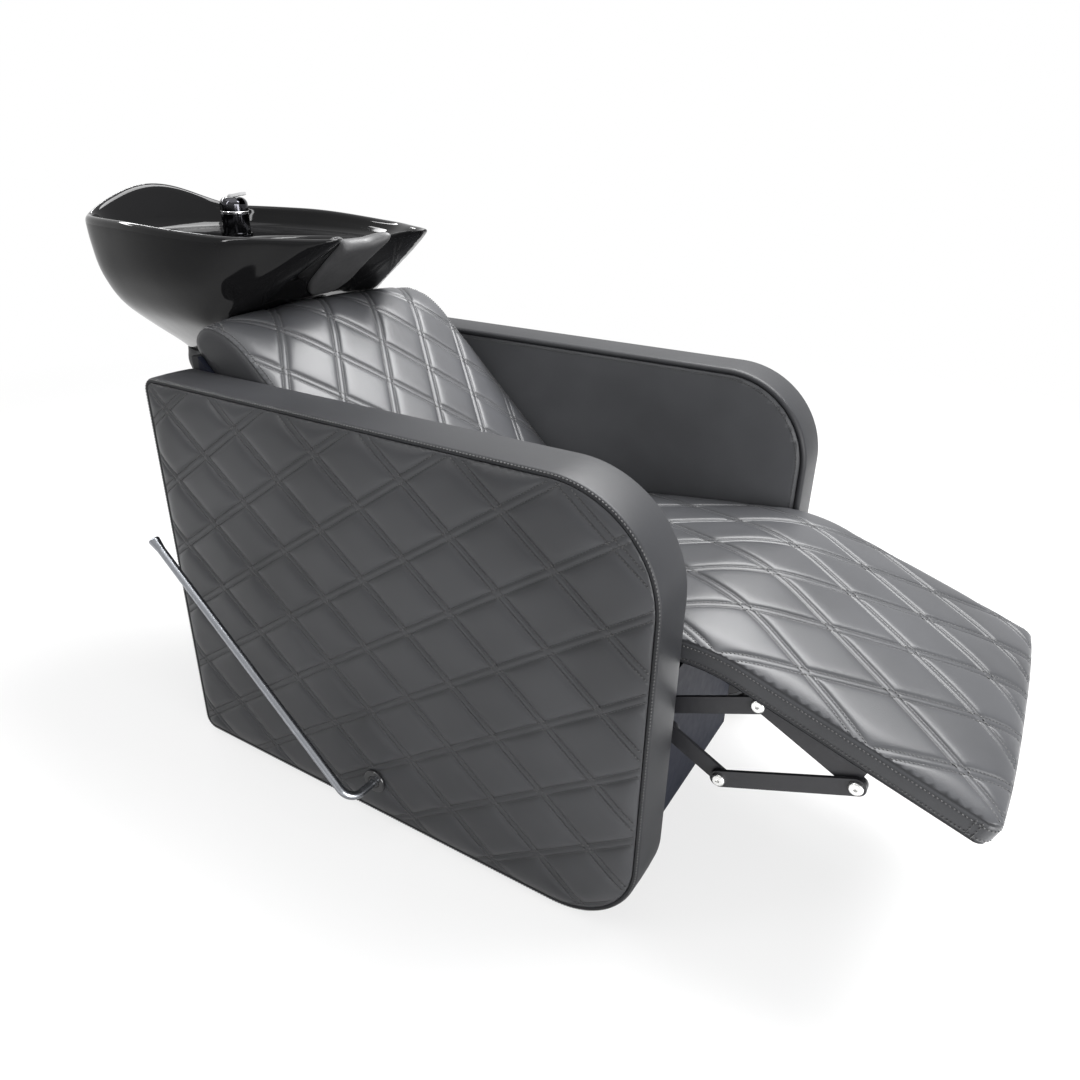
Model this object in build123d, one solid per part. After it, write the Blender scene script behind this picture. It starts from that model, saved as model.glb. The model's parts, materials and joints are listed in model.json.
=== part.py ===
from build123d import *
import math
import os

# A salon washing bed. A person lies back on a quilted seat between two padded arm panels, with the
# legs on a folding leg rest and the neck in the notch of a black ceramic basin. The basin tilts on a
# stand behind the backrest, and a long bent lever on the left panel raises and lowers the leg rest.
#
# Sizes are in millimetres and degrees. X runs across the bed, Y from the feet (minus) to the basin
# (plus) and Z up from the floor. A size whose name ends in "ahead" is measured forwards, towards the
# feet, from the back edge of the arm panels.

# Fits shared by many pieces.
soft_gap = 0.3
running_gap = 0.1
cut_overrun = 1

# Arm panels.
panel_length = 913
panel_top_height = 694
panel_thickness = 90
panel_spacing = 520
front_top_radius = 160
front_bottom_radius = 135
back_corner_radius = 24
lining_thickness = 10
lining_edge_radius = 4
quilt_pad_thickness = 18
quilt_pad_edge_radius = 9
edge_band_thickness = 9
glide_height = 6
glide_radius = 17
glide_inset = 70
panel_quilt_start_ahead = 52
panel_quilt_start_height = 649
panel_rise_run = 81
panel_rise = 57
panel_fall_run = 78
panel_fall = 62
panel_quilt_border = 17

# Sewn channels of the quilting.
channel_width = 9
channel_depth = 3

# Side boards, floor rails and front board of the base.
side_board_thickness = 18
side_board_setback = 15
board_height = 5
base_front_ahead = 830
base_back_ahead = 30
rail_width = 30
rail_height = 40
rear_rail_ahead = 120
centre_rail_width = 60
origin_foot_radius = 22
front_board_thickness = 16
front_board_height = 300
front_board_width = 430
front_post_width = 40
front_post_depth = 32
rear_panel_thickness = 15

# Seat and leg rest. The seam is the line where the quilted top is sewn to the boxing.
cushion_width = 510
bend_ahead = 940
bend_height = 472
seat_slope = 6.84
leg_slope = 18.37
boxing_height = 34
boxing_draw = 3
seat_crown = 22
seat_back_ahead = 400
fold_line_ahead = 947
cushion_split = 5
leg_front_ahead = 1310
front_roll_length = 110
board_thickness = 15
cover_wrap = 5
seat_quilt_ahead = 850
seat_quilt_side = 12
seat_diamond_width = 108
seat_diamond_step = 101.5
seat_quilt_border = 20

# Backrest.
back_slope = 43.4
back_top_ahead = 154
back_top_height = 716
back_thickness = 88
back_crown = 18
back_top_reach = 113
back_lower_length = 425
back_roll_drop = 60
back_rear_radius = 20
back_quilt_drop = 31
back_quilt_side = 12
back_diamond_width = 112
back_diamond_step = 75

# Leg-rest linkage. Pivots are places in the side view.
main_pivot_ahead = 1013
main_pivot_height = 398
frame_pivot_ahead = 842
frame_pivot_height = 330
link_length = 151
link_angle = -27.6
bar_width = 25
bar_thickness = 5
bar_layer_gap = 1.5
arm_tail = 95
side_board_gap = 0.3
pivot_radius = 5
bolt_head_radius = 9.5
bolt_head_height = 5
bolt_socket_radius = 3.2
bolt_socket_depth = 2.6
nut_width = 15
nut_height = 4.5
washer_radius = 9
torque_tube_radius = 11
torque_tube_wall = 2
bracket_flange_width = 26
bracket_flange_thickness = 3
leg_board_back_ahead = 990
leg_board_front_ahead = 1285

# Fold lever.
lever_ahead = 440
lever_height = 81
lever_rod_radius = 6.8
lever_plane = 410
lever_tip_ahead = 64
lever_tip_height = 429
lever_bend_radius = 26
lever_knob_length = 22
lever_knob_radius = 9.5
crank_length = 60
crank_hub_radius = 13
grommet_radius = 21
grommet_height = 5
bush_wall = 3

# Basin. Heights are above the floor, and ahead places lie behind the panels when they are minus.
basin_foot_ahead = -170
basin_foot_height = 625
basin_mould_height = 960
basin_level_height = 876
basin_half_width = 228
notch_ahead = 156
horn_ahead = 226
basin_back_ahead = -392
basin_widest_ahead = -70
basin_corner_ahead = -345
basin_corner_side = 175
rim_front_height = 896
rim_back_height = 907
crest_height = 953
crest_half_width = 180
neck_dip_radius = 170
rim_width = 17
rim_radius = 4
tray_height = 866
tray_draft = 6
bowl_half_width = 160
bowl_half_length = 108
bowl_ahead = 2
bowl_floor_height = 752
bowl_floor_half_width = 82
bowl_floor_half_length = 44
bowl_floor_ahead = -45
waste_radius = 22

# Neck pad of grey rubber.
pad_thickness = 8
pad_half_width = 92
pad_tip_half_width = 56
pad_top_ahead = 215
pad_bottom_ahead = 45

# Mixer tap.
mixer_radius = 26
mixer_side = 35
mixer_ahead = -189
mixer_foot_radius = 30
mixer_foot_height = 5
mixer_body_height = 34
mixer_ring_height = 6
mixer_cap_height = 24
mixer_dome_height = 13
mixer_lever_length = 34
mixer_lever_width = 13
mixer_lever_thickness = 5
mixer_lever_rise = 10

# Waste.
strainer_radius = 30
strainer_height = 4
strainer_hole_radius = 2.6
strainer_ring_radius = 13
strainer_holes = 8
waste_wall = 2
waste_tail_drop = 40
waste_outlet_length = 50
waste_nut_radius = 29
waste_nut_height = 12
waste_boss_radius = 34
waste_duct_radius = 40

# Stand and tilt joint behind the backrest.
stand_width = 220
stand_depth = 140
stand_top_height = 566
stand_top_reach = 300
stand_waist_height = 380
stand_lip = 26
stand_corner_radius = 18
stand_foot_height = 24
stand_foot_reach = 300
stand_foot_width = 260
tilt_ahead = -215
tilt_height = 590
tilt_bolt_radius = 6
tilt_ear_radius = 16
tilt_ear_thickness = 8
tilt_ear_spacing = 90
tilt_plate_thickness = 6
tilt_plate_length = 120
fork_foot_thickness = 8

# Sizes that follow from the ones above.
clear_half = panel_spacing / 2
panel_outer = clear_half + panel_thickness
core_thickness = panel_thickness - lining_thickness - quilt_pad_thickness - soft_gap * 2
core_inner = clear_half + lining_thickness + soft_gap
panel_middle_height = (panel_top_height + glide_height) / 2
board_outer = clear_half - soft_gap
board_inner = board_outer - side_board_thickness
outer_layer = board_inner - side_board_gap - bar_thickness
inner_layer = outer_layer - bar_layer_gap - bar_thickness
rod_layer = inner_layer - soft_gap * 2 - bar_thickness
cushion_half = cushion_width / 2
board_half = cushion_half - cover_wrap - soft_gap
level_shares = (0, 0.134, 0.254, 0.373, 0.522, 0.70, 0.85, 1)
half_width_shares = (0.29, 0.46, 0.66, 0.84, 0.94, 0.985, 1, 1)
back_shares = (0.30, 0.44, 0.64, 0.82, 0.955, 1, 1, 1)
ridge_side_shares = (0.15, 0.39, 0.62, 0.78, 0.715, 0.583, 0.46, 0.333)
front_shares = (0.17, 0.33, 0.466, 0.552, 0.736, 0.942, 1.125, 1.307)
ridge_shares = (0.16, 0.337, 0.475, 0.561, 0.77, 1.05, 1.27, 1.497)
tray_level = 5
os.makedirs("parts", exist_ok=True)


def y_at(ahead):
    """The Y of a place given as its distance ahead of the panels' back edge."""
    return panel_length / 2 - ahead


def side(ahead, height):
    """A point of the side view."""
    return (y_at(ahead), height)


def turned(place, length, angle):
    """The side-view point that lies a length from place, at an angle above straight ahead."""
    reach = length * math.cos(math.radians(angle))
    rise = length * math.sin(math.radians(angle))
    return (place[0] - reach, place[1] + rise)


def side_plate(outline, inner, thickness):
    """A plate across X, from a side-view outline and the X of its inner face."""
    return extrude(Plane.YZ.offset(inner) * outline, thickness, dir=(1, 0, 0))


def lengthwise_plate(outline, front, length):
    """A plate along Y, from a front-view outline and the Y of its front face."""
    return extrude(Plane.XZ.offset(-front) * outline, length, dir=(0, 1, 0))


def upright_plate(outline, low, height):
    """A plate along Z, from a plan outline and the height of its underside."""
    return extrude(Pos(0, 0, low) * outline, height, dir=(0, 0, 1))


def space_ahead(ahead):
    """Everything ahead of an upright plane across the bed."""
    size = panel_length * 2
    return Pos(0, y_at(ahead) - size / 2, 0) * Box(size, size, size)


def disc(place, radius):
    """A circle of the side view."""
    return Pos(*place) * Circle(radius)


def both_sides(right):
    """A piece on the right together with its mirror image on the left."""
    return right + mirror(right, about=Plane.YZ)


# Side-view places of the linkage and the lever.
main_pivot = side(main_pivot_ahead, main_pivot_height)
frame_pivot = side(frame_pivot_ahead, frame_pivot_height)
link_pivot = turned(frame_pivot, link_length, link_angle)
bracket_pivot = turned(main_pivot, link_length, link_angle)
lever_pivot = side(lever_ahead, lever_height)
crank_pivot = turned(lever_pivot, crank_length, link_angle)
rod_pivot = turned(frame_pivot, crank_length, link_angle)


# Arm panels

def rounded_corner(outline, across, up, radius):
    """Rounds the corner of a side-view outline that lies farthest in the direction (across, up)."""
    corner = max(outline.vertices(), key=lambda vertex: vertex.X * across + vertex.Y * up)
    return fillet(corner, radius)


def panel_outline(inset):
    """The side view of an arm panel, drawn in all round by inset."""
    length = panel_length - inset * 2
    height = panel_top_height - glide_height - inset * 2
    outline = Pos(0, panel_middle_height) * Rectangle(length, height)
    outline = rounded_corner(outline, 1, 1, back_corner_radius - inset / 2)
    outline = rounded_corner(outline, 1, -1, back_corner_radius - inset / 2)
    outline = rounded_corner(outline, -1, -1, front_bottom_radius - inset)
    return rounded_corner(outline, -1, 1, front_top_radius - inset)


def strips(start, run, step, counts, length, width):
    """Parallel straight strips of quilting: each lies along run, and step leads to the next."""
    angle = math.degrees(math.atan2(run[1], run[0]))
    family = Sketch()
    for count in counts:
        place = (start[0] + step[0] * count, start[1] + step[1] * count)
        family += Pos(*place) * Rot(0, 0, angle) * Rectangle(length, width)
    return family


def panel_channels():
    """The channels of the outer quilting, cut back to a plain border, with the border's own seam."""
    start = side(panel_quilt_start_ahead, panel_quilt_start_height)
    rising = (-panel_rise_run, panel_rise)
    falling = (-panel_fall_run, -panel_fall)
    reach = panel_length * 2
    falling_count = math.ceil(panel_top_height / panel_fall)
    rising_count = math.ceil(panel_top_height / panel_rise) // 2
    lines = strips(start, falling, rising, range(-rising_count, rising_count), reach, channel_width)
    lines += strips(start, rising, falling, range(falling_count), reach, channel_width)
    border = panel_outline(panel_quilt_border)
    return (lines & border) + (border - panel_outline(panel_quilt_border + channel_width / 2))


def panel_core():
    """The timber core that carries the padding of a panel."""
    return side_plate(panel_outline(edge_band_thickness + soft_gap), core_inner, core_thickness)


def panel_band():
    """The padded band that wraps the edge of a panel."""
    ring = panel_outline(0) - panel_outline(edge_band_thickness)
    return side_plate(ring, core_inner, core_thickness)


def panel_lining():
    """The plain pad on the inner face of a panel."""
    pad = side_plate(panel_outline(0), clear_half, lining_thickness)
    return fillet(pad.faces().sort_by(Axis.X)[0].edges(), lining_edge_radius)


def panel_quilt():
    """The quilted pad on the outer face of a panel, with its diamond channels."""
    pad = side_plate(panel_outline(0), panel_outer - quilt_pad_thickness, quilt_pad_thickness)
    pad = fillet(pad.faces().sort_by(Axis.X)[-1].edges(), quilt_pad_edge_radius)
    cut = side_plate(panel_channels(), panel_outer - channel_depth, channel_depth + cut_overrun)
    return pad - cut


def lever_hole(radius):
    """The bore through the left panel for the shaft of the lever."""
    return side_plate(disc(lever_pivot, radius), -panel_outer - cut_overrun, panel_thickness * 2)


def floor_glides():
    """The round glides that carry the panels on the floor, with one under the middle of the base."""
    middle = core_inner + core_thickness / 2
    reach = panel_length / 2 - glide_inset * 2
    glides = Pos(0, 0, board_height / 2) * Cylinder(origin_foot_radius, board_height)
    for place in (-reach, 0, reach):
        for across in (-middle, middle):
            glides += Pos(across, place, glide_height / 2) * Cylinder(glide_radius, glide_height)
    return glides


# Base

def under_seat(ahead):
    """The height of the seat board's underside, with its gap, at a place."""
    slope = math.radians(seat_slope)
    drop = (bend_ahead - ahead) * math.tan(slope)
    return bend_height - drop - (boxing_height + soft_gap) / math.cos(slope)


def under_backrest(ahead):
    """The height of the backrest's rear face, with its gap, at a place."""
    slope = math.radians(back_slope)
    drop = (ahead - back_top_ahead) * math.tan(slope)
    return back_top_height - drop - (back_thickness + soft_gap) / math.cos(slope)


def base_corner_ahead():
    """The place where the lines under the seat and behind the backrest meet."""
    slopes = math.tan(math.radians(seat_slope)) + math.tan(math.radians(back_slope))
    return (under_backrest(0) - under_seat(0)) / slopes


def side_board():
    """One of the two upright boards between the panels, which carry the seat and the backrest.

    Its front edge stays behind the kick board, clear of the link bolts when the leg rest is down.
    """
    corner = base_corner_ahead()
    front = base_front_ahead - side_board_setback
    points = [
        side(base_back_ahead, board_height),
        side(front, board_height),
        side(front, under_seat(front)),
        side(corner, under_seat(corner)),
        side(base_back_ahead, under_backrest(base_back_ahead)),
    ]
    return side_plate(Polygon(*points, align=None), board_inner, side_board_thickness)


def cross_rail(ahead, width):
    """A rail across the bed between the side boards, near the floor."""
    return Pos(0, y_at(ahead), board_height + rail_height / 2) * Box(board_inner * 2, width, rail_height)


def centre_rail():
    """The rail along the bed that joins the two cross rails."""
    start = rear_rail_ahead + rail_width / 2
    end = base_front_ahead - front_post_depth
    height = board_height + rail_height / 2
    return Pos(0, y_at((start + end) / 2), height) * Box(centre_rail_width, end - start, rail_height)


def front_board():
    """The dark kick board across the front of the base."""
    middle = base_front_ahead + front_board_thickness / 2
    height = (board_height + front_board_height) / 2
    return Pos(0, y_at(middle), height) * Box(
        front_board_width, front_board_thickness, front_board_height - board_height
    )


def front_posts():
    """The two posts that stand on the front rail and carry the front of the deck."""
    back = base_front_ahead - front_post_depth
    foot = board_height + rail_height
    points = [side(back, foot), side(base_front_ahead, foot)]
    points += [side(base_front_ahead, under_seat(base_front_ahead)), side(back, under_seat(back))]
    inner = front_board_width / 2 - front_post_width
    return both_sides(side_plate(Polygon(*points, align=None), inner, front_post_width))


def rear_panel():
    """The covered panel that closes the back of the base, up to the backrest."""
    height = under_backrest(base_back_ahead) - board_height
    middle = base_back_ahead - rear_panel_thickness / 2
    return Pos(0, y_at(middle), board_height + height / 2) * Box(board_outer * 2, rear_panel_thickness, height)


# Seat, leg rest and backrest

def cushion_section(crown):
    """The cross-section of a cushion: flat below, boxing drawn in at both seams, crowned top."""
    seam = cushion_half - boxing_draw
    low = -boxing_height
    right = ThreePointArc((seam, low), (cushion_half, low / 2), (seam, 0))
    top = ThreePointArc((seam, 0), (0, crown), (-seam, 0))
    left = ThreePointArc((-seam, 0), (-cushion_half, low / 2), (-seam, low))
    return make_face([Line((-seam, low), (seam, low)), right, top, left])


def crowned_form(places, crown_shares):
    """A cushion laid level along Y, through cross-sections whose crowns are shares of the full one."""
    sections = []
    for place, share in zip(places, crown_shares):
        sections.append(Plane.XZ.offset(-place) * cushion_section(seat_crown * share))
    return loft(sections)


def on_seat(part):
    """Moves a cushion that lies level, with its end at zero, to the slope of the seat."""
    return Pos(0, y_at(bend_ahead), bend_height) * Rot(-seat_slope, 0, 0) * part


def on_leg_rest(part):
    """Moves a level cushion, with its end at zero, to the slope of the leg rest."""
    return Pos(0, y_at(bend_ahead), bend_height) * Rot(leg_slope, 0, 0) * part


def on_backrest(part):
    """Moves a level cushion, with the top of its straight part at zero, to the backrest's slope."""
    return Pos(0, y_at(back_top_ahead), back_top_height) * Rot(back_slope, 0, 0) * part


def seat_form():
    """The crowned seat without its channels."""
    rear = (bend_ahead - seat_back_ahead) / math.cos(math.radians(seat_slope))
    return crowned_form((-boxing_height, rear), (1, 1))


def leg_form():
    """The crowned leg rest without its channels, rolling down to the seam at its front end."""
    front = -(leg_front_ahead - bend_ahead) / math.cos(math.radians(leg_slope))
    places = (front, front + front_roll_length / 3, front + front_roll_length, boxing_height)
    return crowned_form(places, (0.3, 0.72, 1, 1))


def seat_channel_slabs(back_ahead, front_ahead):
    """Upright slabs along the quilting lines of the seat, between two places."""
    start = (seat_quilt_side, y_at(seat_quilt_ahead))
    one_way = (seat_diamond_width / 2, -seat_diamond_step)
    other_way = (-seat_diamond_width / 2, -seat_diamond_step)
    reach = (front_ahead - back_ahead) * 3
    count = math.ceil(reach / seat_diamond_step / 2)
    lines = strips(start, one_way, other_way, range(-count, count), reach, channel_width)
    lines += strips(start, other_way, one_way, range(-count, count), reach, channel_width)
    width = cushion_width - seat_quilt_border * 2
    length = front_ahead - back_ahead
    area = Pos(0, y_at(back_ahead + length / 2)) * Rectangle(width, length)
    return upright_plate(lines & area, 0, bend_height * 2)


def board_pocket(back_place_y, front_place_y):
    """The recess under a level cushion for the board that its cover wraps."""
    length = back_place_y - front_place_y
    middle = (back_place_y + front_place_y) / 2
    height = board_thickness + soft_gap
    width = (board_half + soft_gap) * 2
    return Pos(0, middle, -boxing_height + height / 2 - cut_overrun / 2) * Box(
        width, length, height + cut_overrun
    )


def seat_board_ends():
    """The back and front end of the seat board along the level seat."""
    slope = math.cos(math.radians(seat_slope))
    return ((bend_ahead - seat_back_ahead) / slope, cover_wrap * 2)


def leg_board_ends():
    """The back and front end of the leg-rest board along the level leg rest."""
    slope = math.cos(math.radians(leg_slope))
    back = -(leg_board_back_ahead - bend_ahead) / slope
    front = -(leg_board_front_ahead - bend_ahead) / slope
    return (back, front)


def board_between(back_end, front_end):
    """A plywood board under a level cushion."""
    length = back_end - front_end
    middle = (back_end + front_end) / 2
    return Pos(0, middle, -boxing_height + board_thickness / 2) * Box(board_half * 2, length, board_thickness)


def seat_deck():
    """The board under the seat."""
    back_end, front_end = seat_board_ends()
    return on_seat(board_between(back_end, front_end + soft_gap))


def legrest_board():
    """The board under the leg rest, which its brackets are screwed to."""
    back_end, front_end = leg_board_ends()
    return on_leg_rest(board_between(back_end - soft_gap, front_end + soft_gap))


def seat_cushion():
    """The quilted seat, cut away where the backrest leans in behind it."""
    back_end, front_end = seat_board_ends()
    front = fold_line_ahead - cushion_split / 2
    form = on_seat(seat_form())
    channels = seat_channel_slabs(seat_back_ahead, front) - Pos(0, 0, -channel_depth) * form
    body = form - on_seat(board_pocket(back_end + cut_overrun, front_end))
    return body - space_ahead(front) - behind_backrest() - channels


def legrest_cushion():
    """The quilted leg rest."""
    back_end, front_end = leg_board_ends()
    back = fold_line_ahead + cushion_split / 2
    form = on_leg_rest(leg_form())
    slabs = seat_channel_slabs(back, leg_front_ahead - seat_quilt_border)
    channels = slabs - Pos(0, 0, -channel_depth) * form
    body = form - on_leg_rest(board_pocket(back_end, front_end))
    return (body & space_ahead(back)) - channels


def back_profile():
    """The side view of the level backrest: straight below, rolled over at the top."""
    end = back_top_reach
    roll = ThreePointArc((0, back_crown), (end * 0.72, 0), (end, -back_roll_drop))
    foot = [(end, -back_thickness), (-back_lower_length, -back_thickness), (-back_lower_length, back_crown)]
    face = make_face([roll, Polyline((end, -back_roll_drop), *foot, (0, back_crown))])
    corner = max(face.vertices(), key=lambda vertex: vertex.X - vertex.Y)
    return fillet(corner, back_rear_radius)


def back_section():
    """The cross-section of the backrest: boxing drawn in at both seams, and a crowned front."""
    seam = cushion_half - boxing_draw
    low = -back_thickness
    right = ThreePointArc((seam, low), (cushion_half, low / 2), (seam, 0))
    front = ThreePointArc((seam, 0), (0, back_crown), (-seam, 0))
    left = ThreePointArc((-seam, 0), (-cushion_half, low / 2), (-seam, low))
    return make_face([Line((-seam, low), (seam, low)), right, front, left])


def back_form():
    """The crowned backrest without its channels."""
    length = back_lower_length + back_top_reach
    block = lengthwise_plate(back_section(), -back_lower_length, length)
    return block & side_plate(back_profile(), -cushion_width, cushion_width * 2)


def behind_backrest():
    """Everything behind the crowned front of the backrest, with its gap."""
    seam = cushion_half - boxing_draw
    wide = cushion_width
    front = ThreePointArc((-seam, soft_gap), (0, back_crown + soft_gap), (seam, soft_gap))
    rest = [(seam, soft_gap), (wide, soft_gap), (wide, -panel_length), (-wide, -panel_length)]
    section = make_face([front, Polyline(*rest, (-wide, soft_gap), (-seam, soft_gap))])
    return on_backrest(lengthwise_plate(section, -back_lower_length * 2, back_lower_length * 3))


def back_channel_slabs():
    """Slabs square to the backrest along its quilting lines."""
    start = (back_quilt_side, -back_quilt_drop)
    one_way = (back_diamond_width / 2, -back_diamond_step)
    other_way = (-back_diamond_width / 2, -back_diamond_step)
    reach = back_lower_length * 2
    count = math.ceil(reach / back_diamond_step / 2)
    lines = strips(start, one_way, other_way, range(-count, count), reach, channel_width)
    lines += strips(start, other_way, one_way, range(-count, count), reach, channel_width)
    width = cushion_width - seat_quilt_border * 2
    top = back_top_reach * 0.8
    length = back_lower_length + top
    area = Pos(0, top - length / 2) * Rectangle(width, length)
    return upright_plate(lines & area, -back_thickness / 2, back_thickness)


def floor_of_backrest():
    """The space below the seat board's top, which the backrest does not enter."""
    deck = -boxing_height + board_thickness + soft_gap
    length = panel_length * 2
    return on_seat(Pos(0, 0, deck - panel_length / 2) * Box(panel_length, length, panel_length))


def backrest_cushion():
    """The quilted backrest, standing on the seat board behind the seat."""
    form = back_form()
    channels = back_channel_slabs() - Pos(0, 0, -channel_depth) * form
    height = board_thickness + soft_gap
    length = back_lower_length
    pocket = Pos(0, -length / 2, -back_thickness + height / 2 - cut_overrun / 2) * Box(
        (board_half + soft_gap) * 2, length + cut_overrun, height + cut_overrun
    )
    return on_backrest(form - channels - pocket) - floor_of_backrest()


def backrest_board():
    """The board that the backrest's cover wraps, fixed between the side boards' slopes."""
    board = Pos(0, -back_lower_length / 2, -back_thickness + board_thickness / 2) * Box(
        board_half * 2, back_lower_length, board_thickness
    )
    return on_backrest(board) - floor_of_backrest()


# Leg-rest linkage

def bar(start, end, inner):
    """A flat bar with round ends and a pivot hole at each of two side-view places."""
    direction = math.degrees(math.atan2(end[1] - start[1], end[0] - start[0]))
    length = math.hypot(end[0] - start[0], end[1] - start[1])
    middle = ((start[0] + end[0]) / 2, (start[1] + end[1]) / 2)
    outline = Pos(*middle) * Rot(0, 0, direction) * SlotCenterToCenter(length, bar_width)
    outline -= disc(start, pivot_radius + running_gap)
    outline -= disc(end, pivot_radius + running_gap)
    return side_plate(outline, inner, bar_thickness)


def hinge_arm():
    """The fixed bar that carries the main pivot; its tail is bolted to the side board."""
    length = math.hypot(main_pivot[0] - frame_pivot[0], main_pivot[1] - frame_pivot[1])
    tail_share = arm_tail / length
    tail = (
        frame_pivot[0] + (frame_pivot[0] - main_pivot[0]) * tail_share,
        frame_pivot[1] + (frame_pivot[1] - main_pivot[1]) * tail_share,
    )
    arm = bar(tail, main_pivot, outer_layer)
    hole = disc(frame_pivot, pivot_radius + running_gap)
    return arm - side_plate(hole, outer_layer - cut_overrun, bar_thickness + cut_overrun * 2)


def drive_link():
    """The bar that the torque tube turns, between the frame pivot and the link pivot."""
    return bar(frame_pivot, link_pivot, inner_layer)


def torque_tube():
    """The tube that joins the left and right drive links on the frame pivots' axis."""
    outline = disc(frame_pivot, torque_tube_radius) - disc(frame_pivot, torque_tube_radius - torque_tube_wall)
    return side_plate(outline, -inner_layer, inner_layer * 2)


def coupler():
    """The bar from the drive link to the leg-rest bracket."""
    return bar(link_pivot, bracket_pivot, outer_layer)


def leg_place(ahead, above):
    """A side-view point, a height square above the seam line of the leg rest."""
    slope = math.radians(leg_slope)
    along = (ahead - bend_ahead - above * math.sin(slope)) / math.cos(slope)
    height = bend_height - along * math.sin(slope) + above * math.cos(slope)
    return side(ahead, height)


def legrest_bracket():
    """The plate between the main pivot and the coupler, filled up to the board and flanged there."""
    under = -boxing_height
    back = leg_place(main_pivot_ahead + bar_width / 2, under)
    front = leg_place(bracket_pivot_ahead + bar_width / 2, under)
    direction = math.degrees(math.atan2(bracket_pivot[1] - main_pivot[1], bracket_pivot[0] - main_pivot[0]))
    middle = ((main_pivot[0] + bracket_pivot[0]) / 2, (main_pivot[1] + bracket_pivot[1]) / 2)
    outline = Pos(*middle) * Rot(0, 0, direction) * SlotCenterToCenter(link_length, bar_width)
    outline += Polygon(main_pivot, back, front, bracket_pivot, align=None)
    outline -= disc(main_pivot, pivot_radius + running_gap)
    outline -= disc(bracket_pivot, pivot_radius + running_gap)
    plate = side_plate(outline, inner_layer, bar_thickness)
    low = under - bracket_flange_thickness
    flange = Polygon(
        back,
        front,
        leg_place(bracket_pivot_ahead + bar_width / 2, low),
        leg_place(main_pivot_ahead + bar_width / 2, low),
        align=None,
    )
    return plate + side_plate(flange, inner_layer - bracket_flange_width, bracket_flange_width)


bracket_pivot_ahead = panel_length / 2 - bracket_pivot[0]


def pivot_bolt(place, head_face, nut_face):
    """A button-head bolt across X, with its head outside head_face and its nut inside nut_face."""
    shank = side_plate(disc(place, pivot_radius), nut_face, head_face - nut_face)
    head = side_plate(disc(place, bolt_head_radius), head_face, bolt_head_height)
    head = fillet(head.faces().sort_by(Axis.X)[-1].edges(), bolt_head_height * 0.6)
    socket = Pos(*place) * RegularPolygon(bolt_socket_radius, 6)
    head -= side_plate(socket, head_face + bolt_head_height - bolt_socket_depth, bolt_socket_depth + cut_overrun)
    nut = side_plate(Pos(*place) * RegularPolygon(nut_width / 2, 6, major_radius=False), nut_face - nut_height, nut_height)
    return shank + head + nut


def linkage_bolt(place):
    """The bolt of one pivot through both layers of bars."""
    return pivot_bolt(place, outer_layer + bar_thickness + running_gap, inner_layer - running_gap)


def frame_pivot_bolts():
    """The bolts of the frame pivots and the main pivots, which stay with the hinge arms."""
    return both_sides(linkage_bolt(frame_pivot) + linkage_bolt(main_pivot))


def pivot_washer(place):
    """The spacing washer between two bars."""
    ring = disc(place, washer_radius) - disc(place, pivot_radius + running_gap)
    gap = bar_layer_gap - running_gap * 2
    return side_plate(ring, inner_layer + bar_thickness + running_gap, gap)


def arm_bolts():
    """The bolts that hold the tails of the hinge arms on the side boards."""
    length = math.hypot(main_pivot[0] - frame_pivot[0], main_pivot[1] - frame_pivot[1])
    reach = arm_tail / length
    tail = (
        frame_pivot[0] + (frame_pivot[0] - main_pivot[0]) * reach,
        frame_pivot[1] + (frame_pivot[1] - main_pivot[1]) * reach,
    )
    shank = side_plate(disc(tail, pivot_radius), outer_layer, bar_thickness + side_board_gap)
    head = side_plate(disc(tail, bolt_head_radius), outer_layer - bolt_head_height, bolt_head_height)
    return both_sides(shank + head)


# Lever

def lever_rod():
    """The bent steel rod: a shaft through the left panel and a long handle outside it."""
    shaft_end = -inner_layer - bar_thickness
    elbow = (-lever_plane, *lever_pivot)
    tip = (-lever_plane, *side(lever_tip_ahead, lever_tip_height))
    path = FilletPolyline((shaft_end, *lever_pivot), elbow, tip, radius=lever_bend_radius)
    section = Plane(origin=path @ 0, z_dir=path % 0) * Circle(lever_rod_radius)
    return sweep(section, path=path)


def lever_knob():
    """The flared end of the handle."""
    tip = side(lever_tip_ahead, lever_tip_height)
    back = (tip[0] - lever_pivot[0], tip[1] - lever_pivot[1])
    plane = Plane(origin=(-lever_plane, *tip), z_dir=(0, back[0], back[1]))
    small = Circle(lever_rod_radius)
    large = Pos(0, 0, lever_knob_length) * Circle(lever_knob_radius)
    cone = loft([small.face(), large.face()])
    cone = fillet(cone.faces().sort_by(Axis.Z)[-1].edges(), lever_rod_radius / 3)
    return plane * cone


def crank_arm():
    """The crank welded to the inner end of the lever's shaft."""
    outer = -inner_layer - bar_thickness
    length = crank_length
    middle = ((lever_pivot[0] + crank_pivot[0]) / 2, (lever_pivot[1] + crank_pivot[1]) / 2)
    outline = Pos(*middle) * Rot(0, 0, 180 - link_angle) * SlotCenterToCenter(length, bar_width)
    outline += disc(lever_pivot, crank_hub_radius)
    return side_plate(outline, outer + soft_gap, bar_thickness)


def rod_pin(place):
    """A headed pin from a bar into the eye of the push rod."""
    outer = -inner_layer + soft_gap
    reach = soft_gap * 3 + bar_thickness
    shank = side_plate(disc(place, pivot_radius), outer, reach)
    head = side_plate(disc(place, washer_radius), outer + reach, bar_thickness / 2)
    return shank + head


def push_rod():
    """The flat rod that carries the lever's turn to the drive link."""
    rod = bar(crank_pivot, rod_pivot, -rod_layer - bar_thickness)
    return rod


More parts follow.
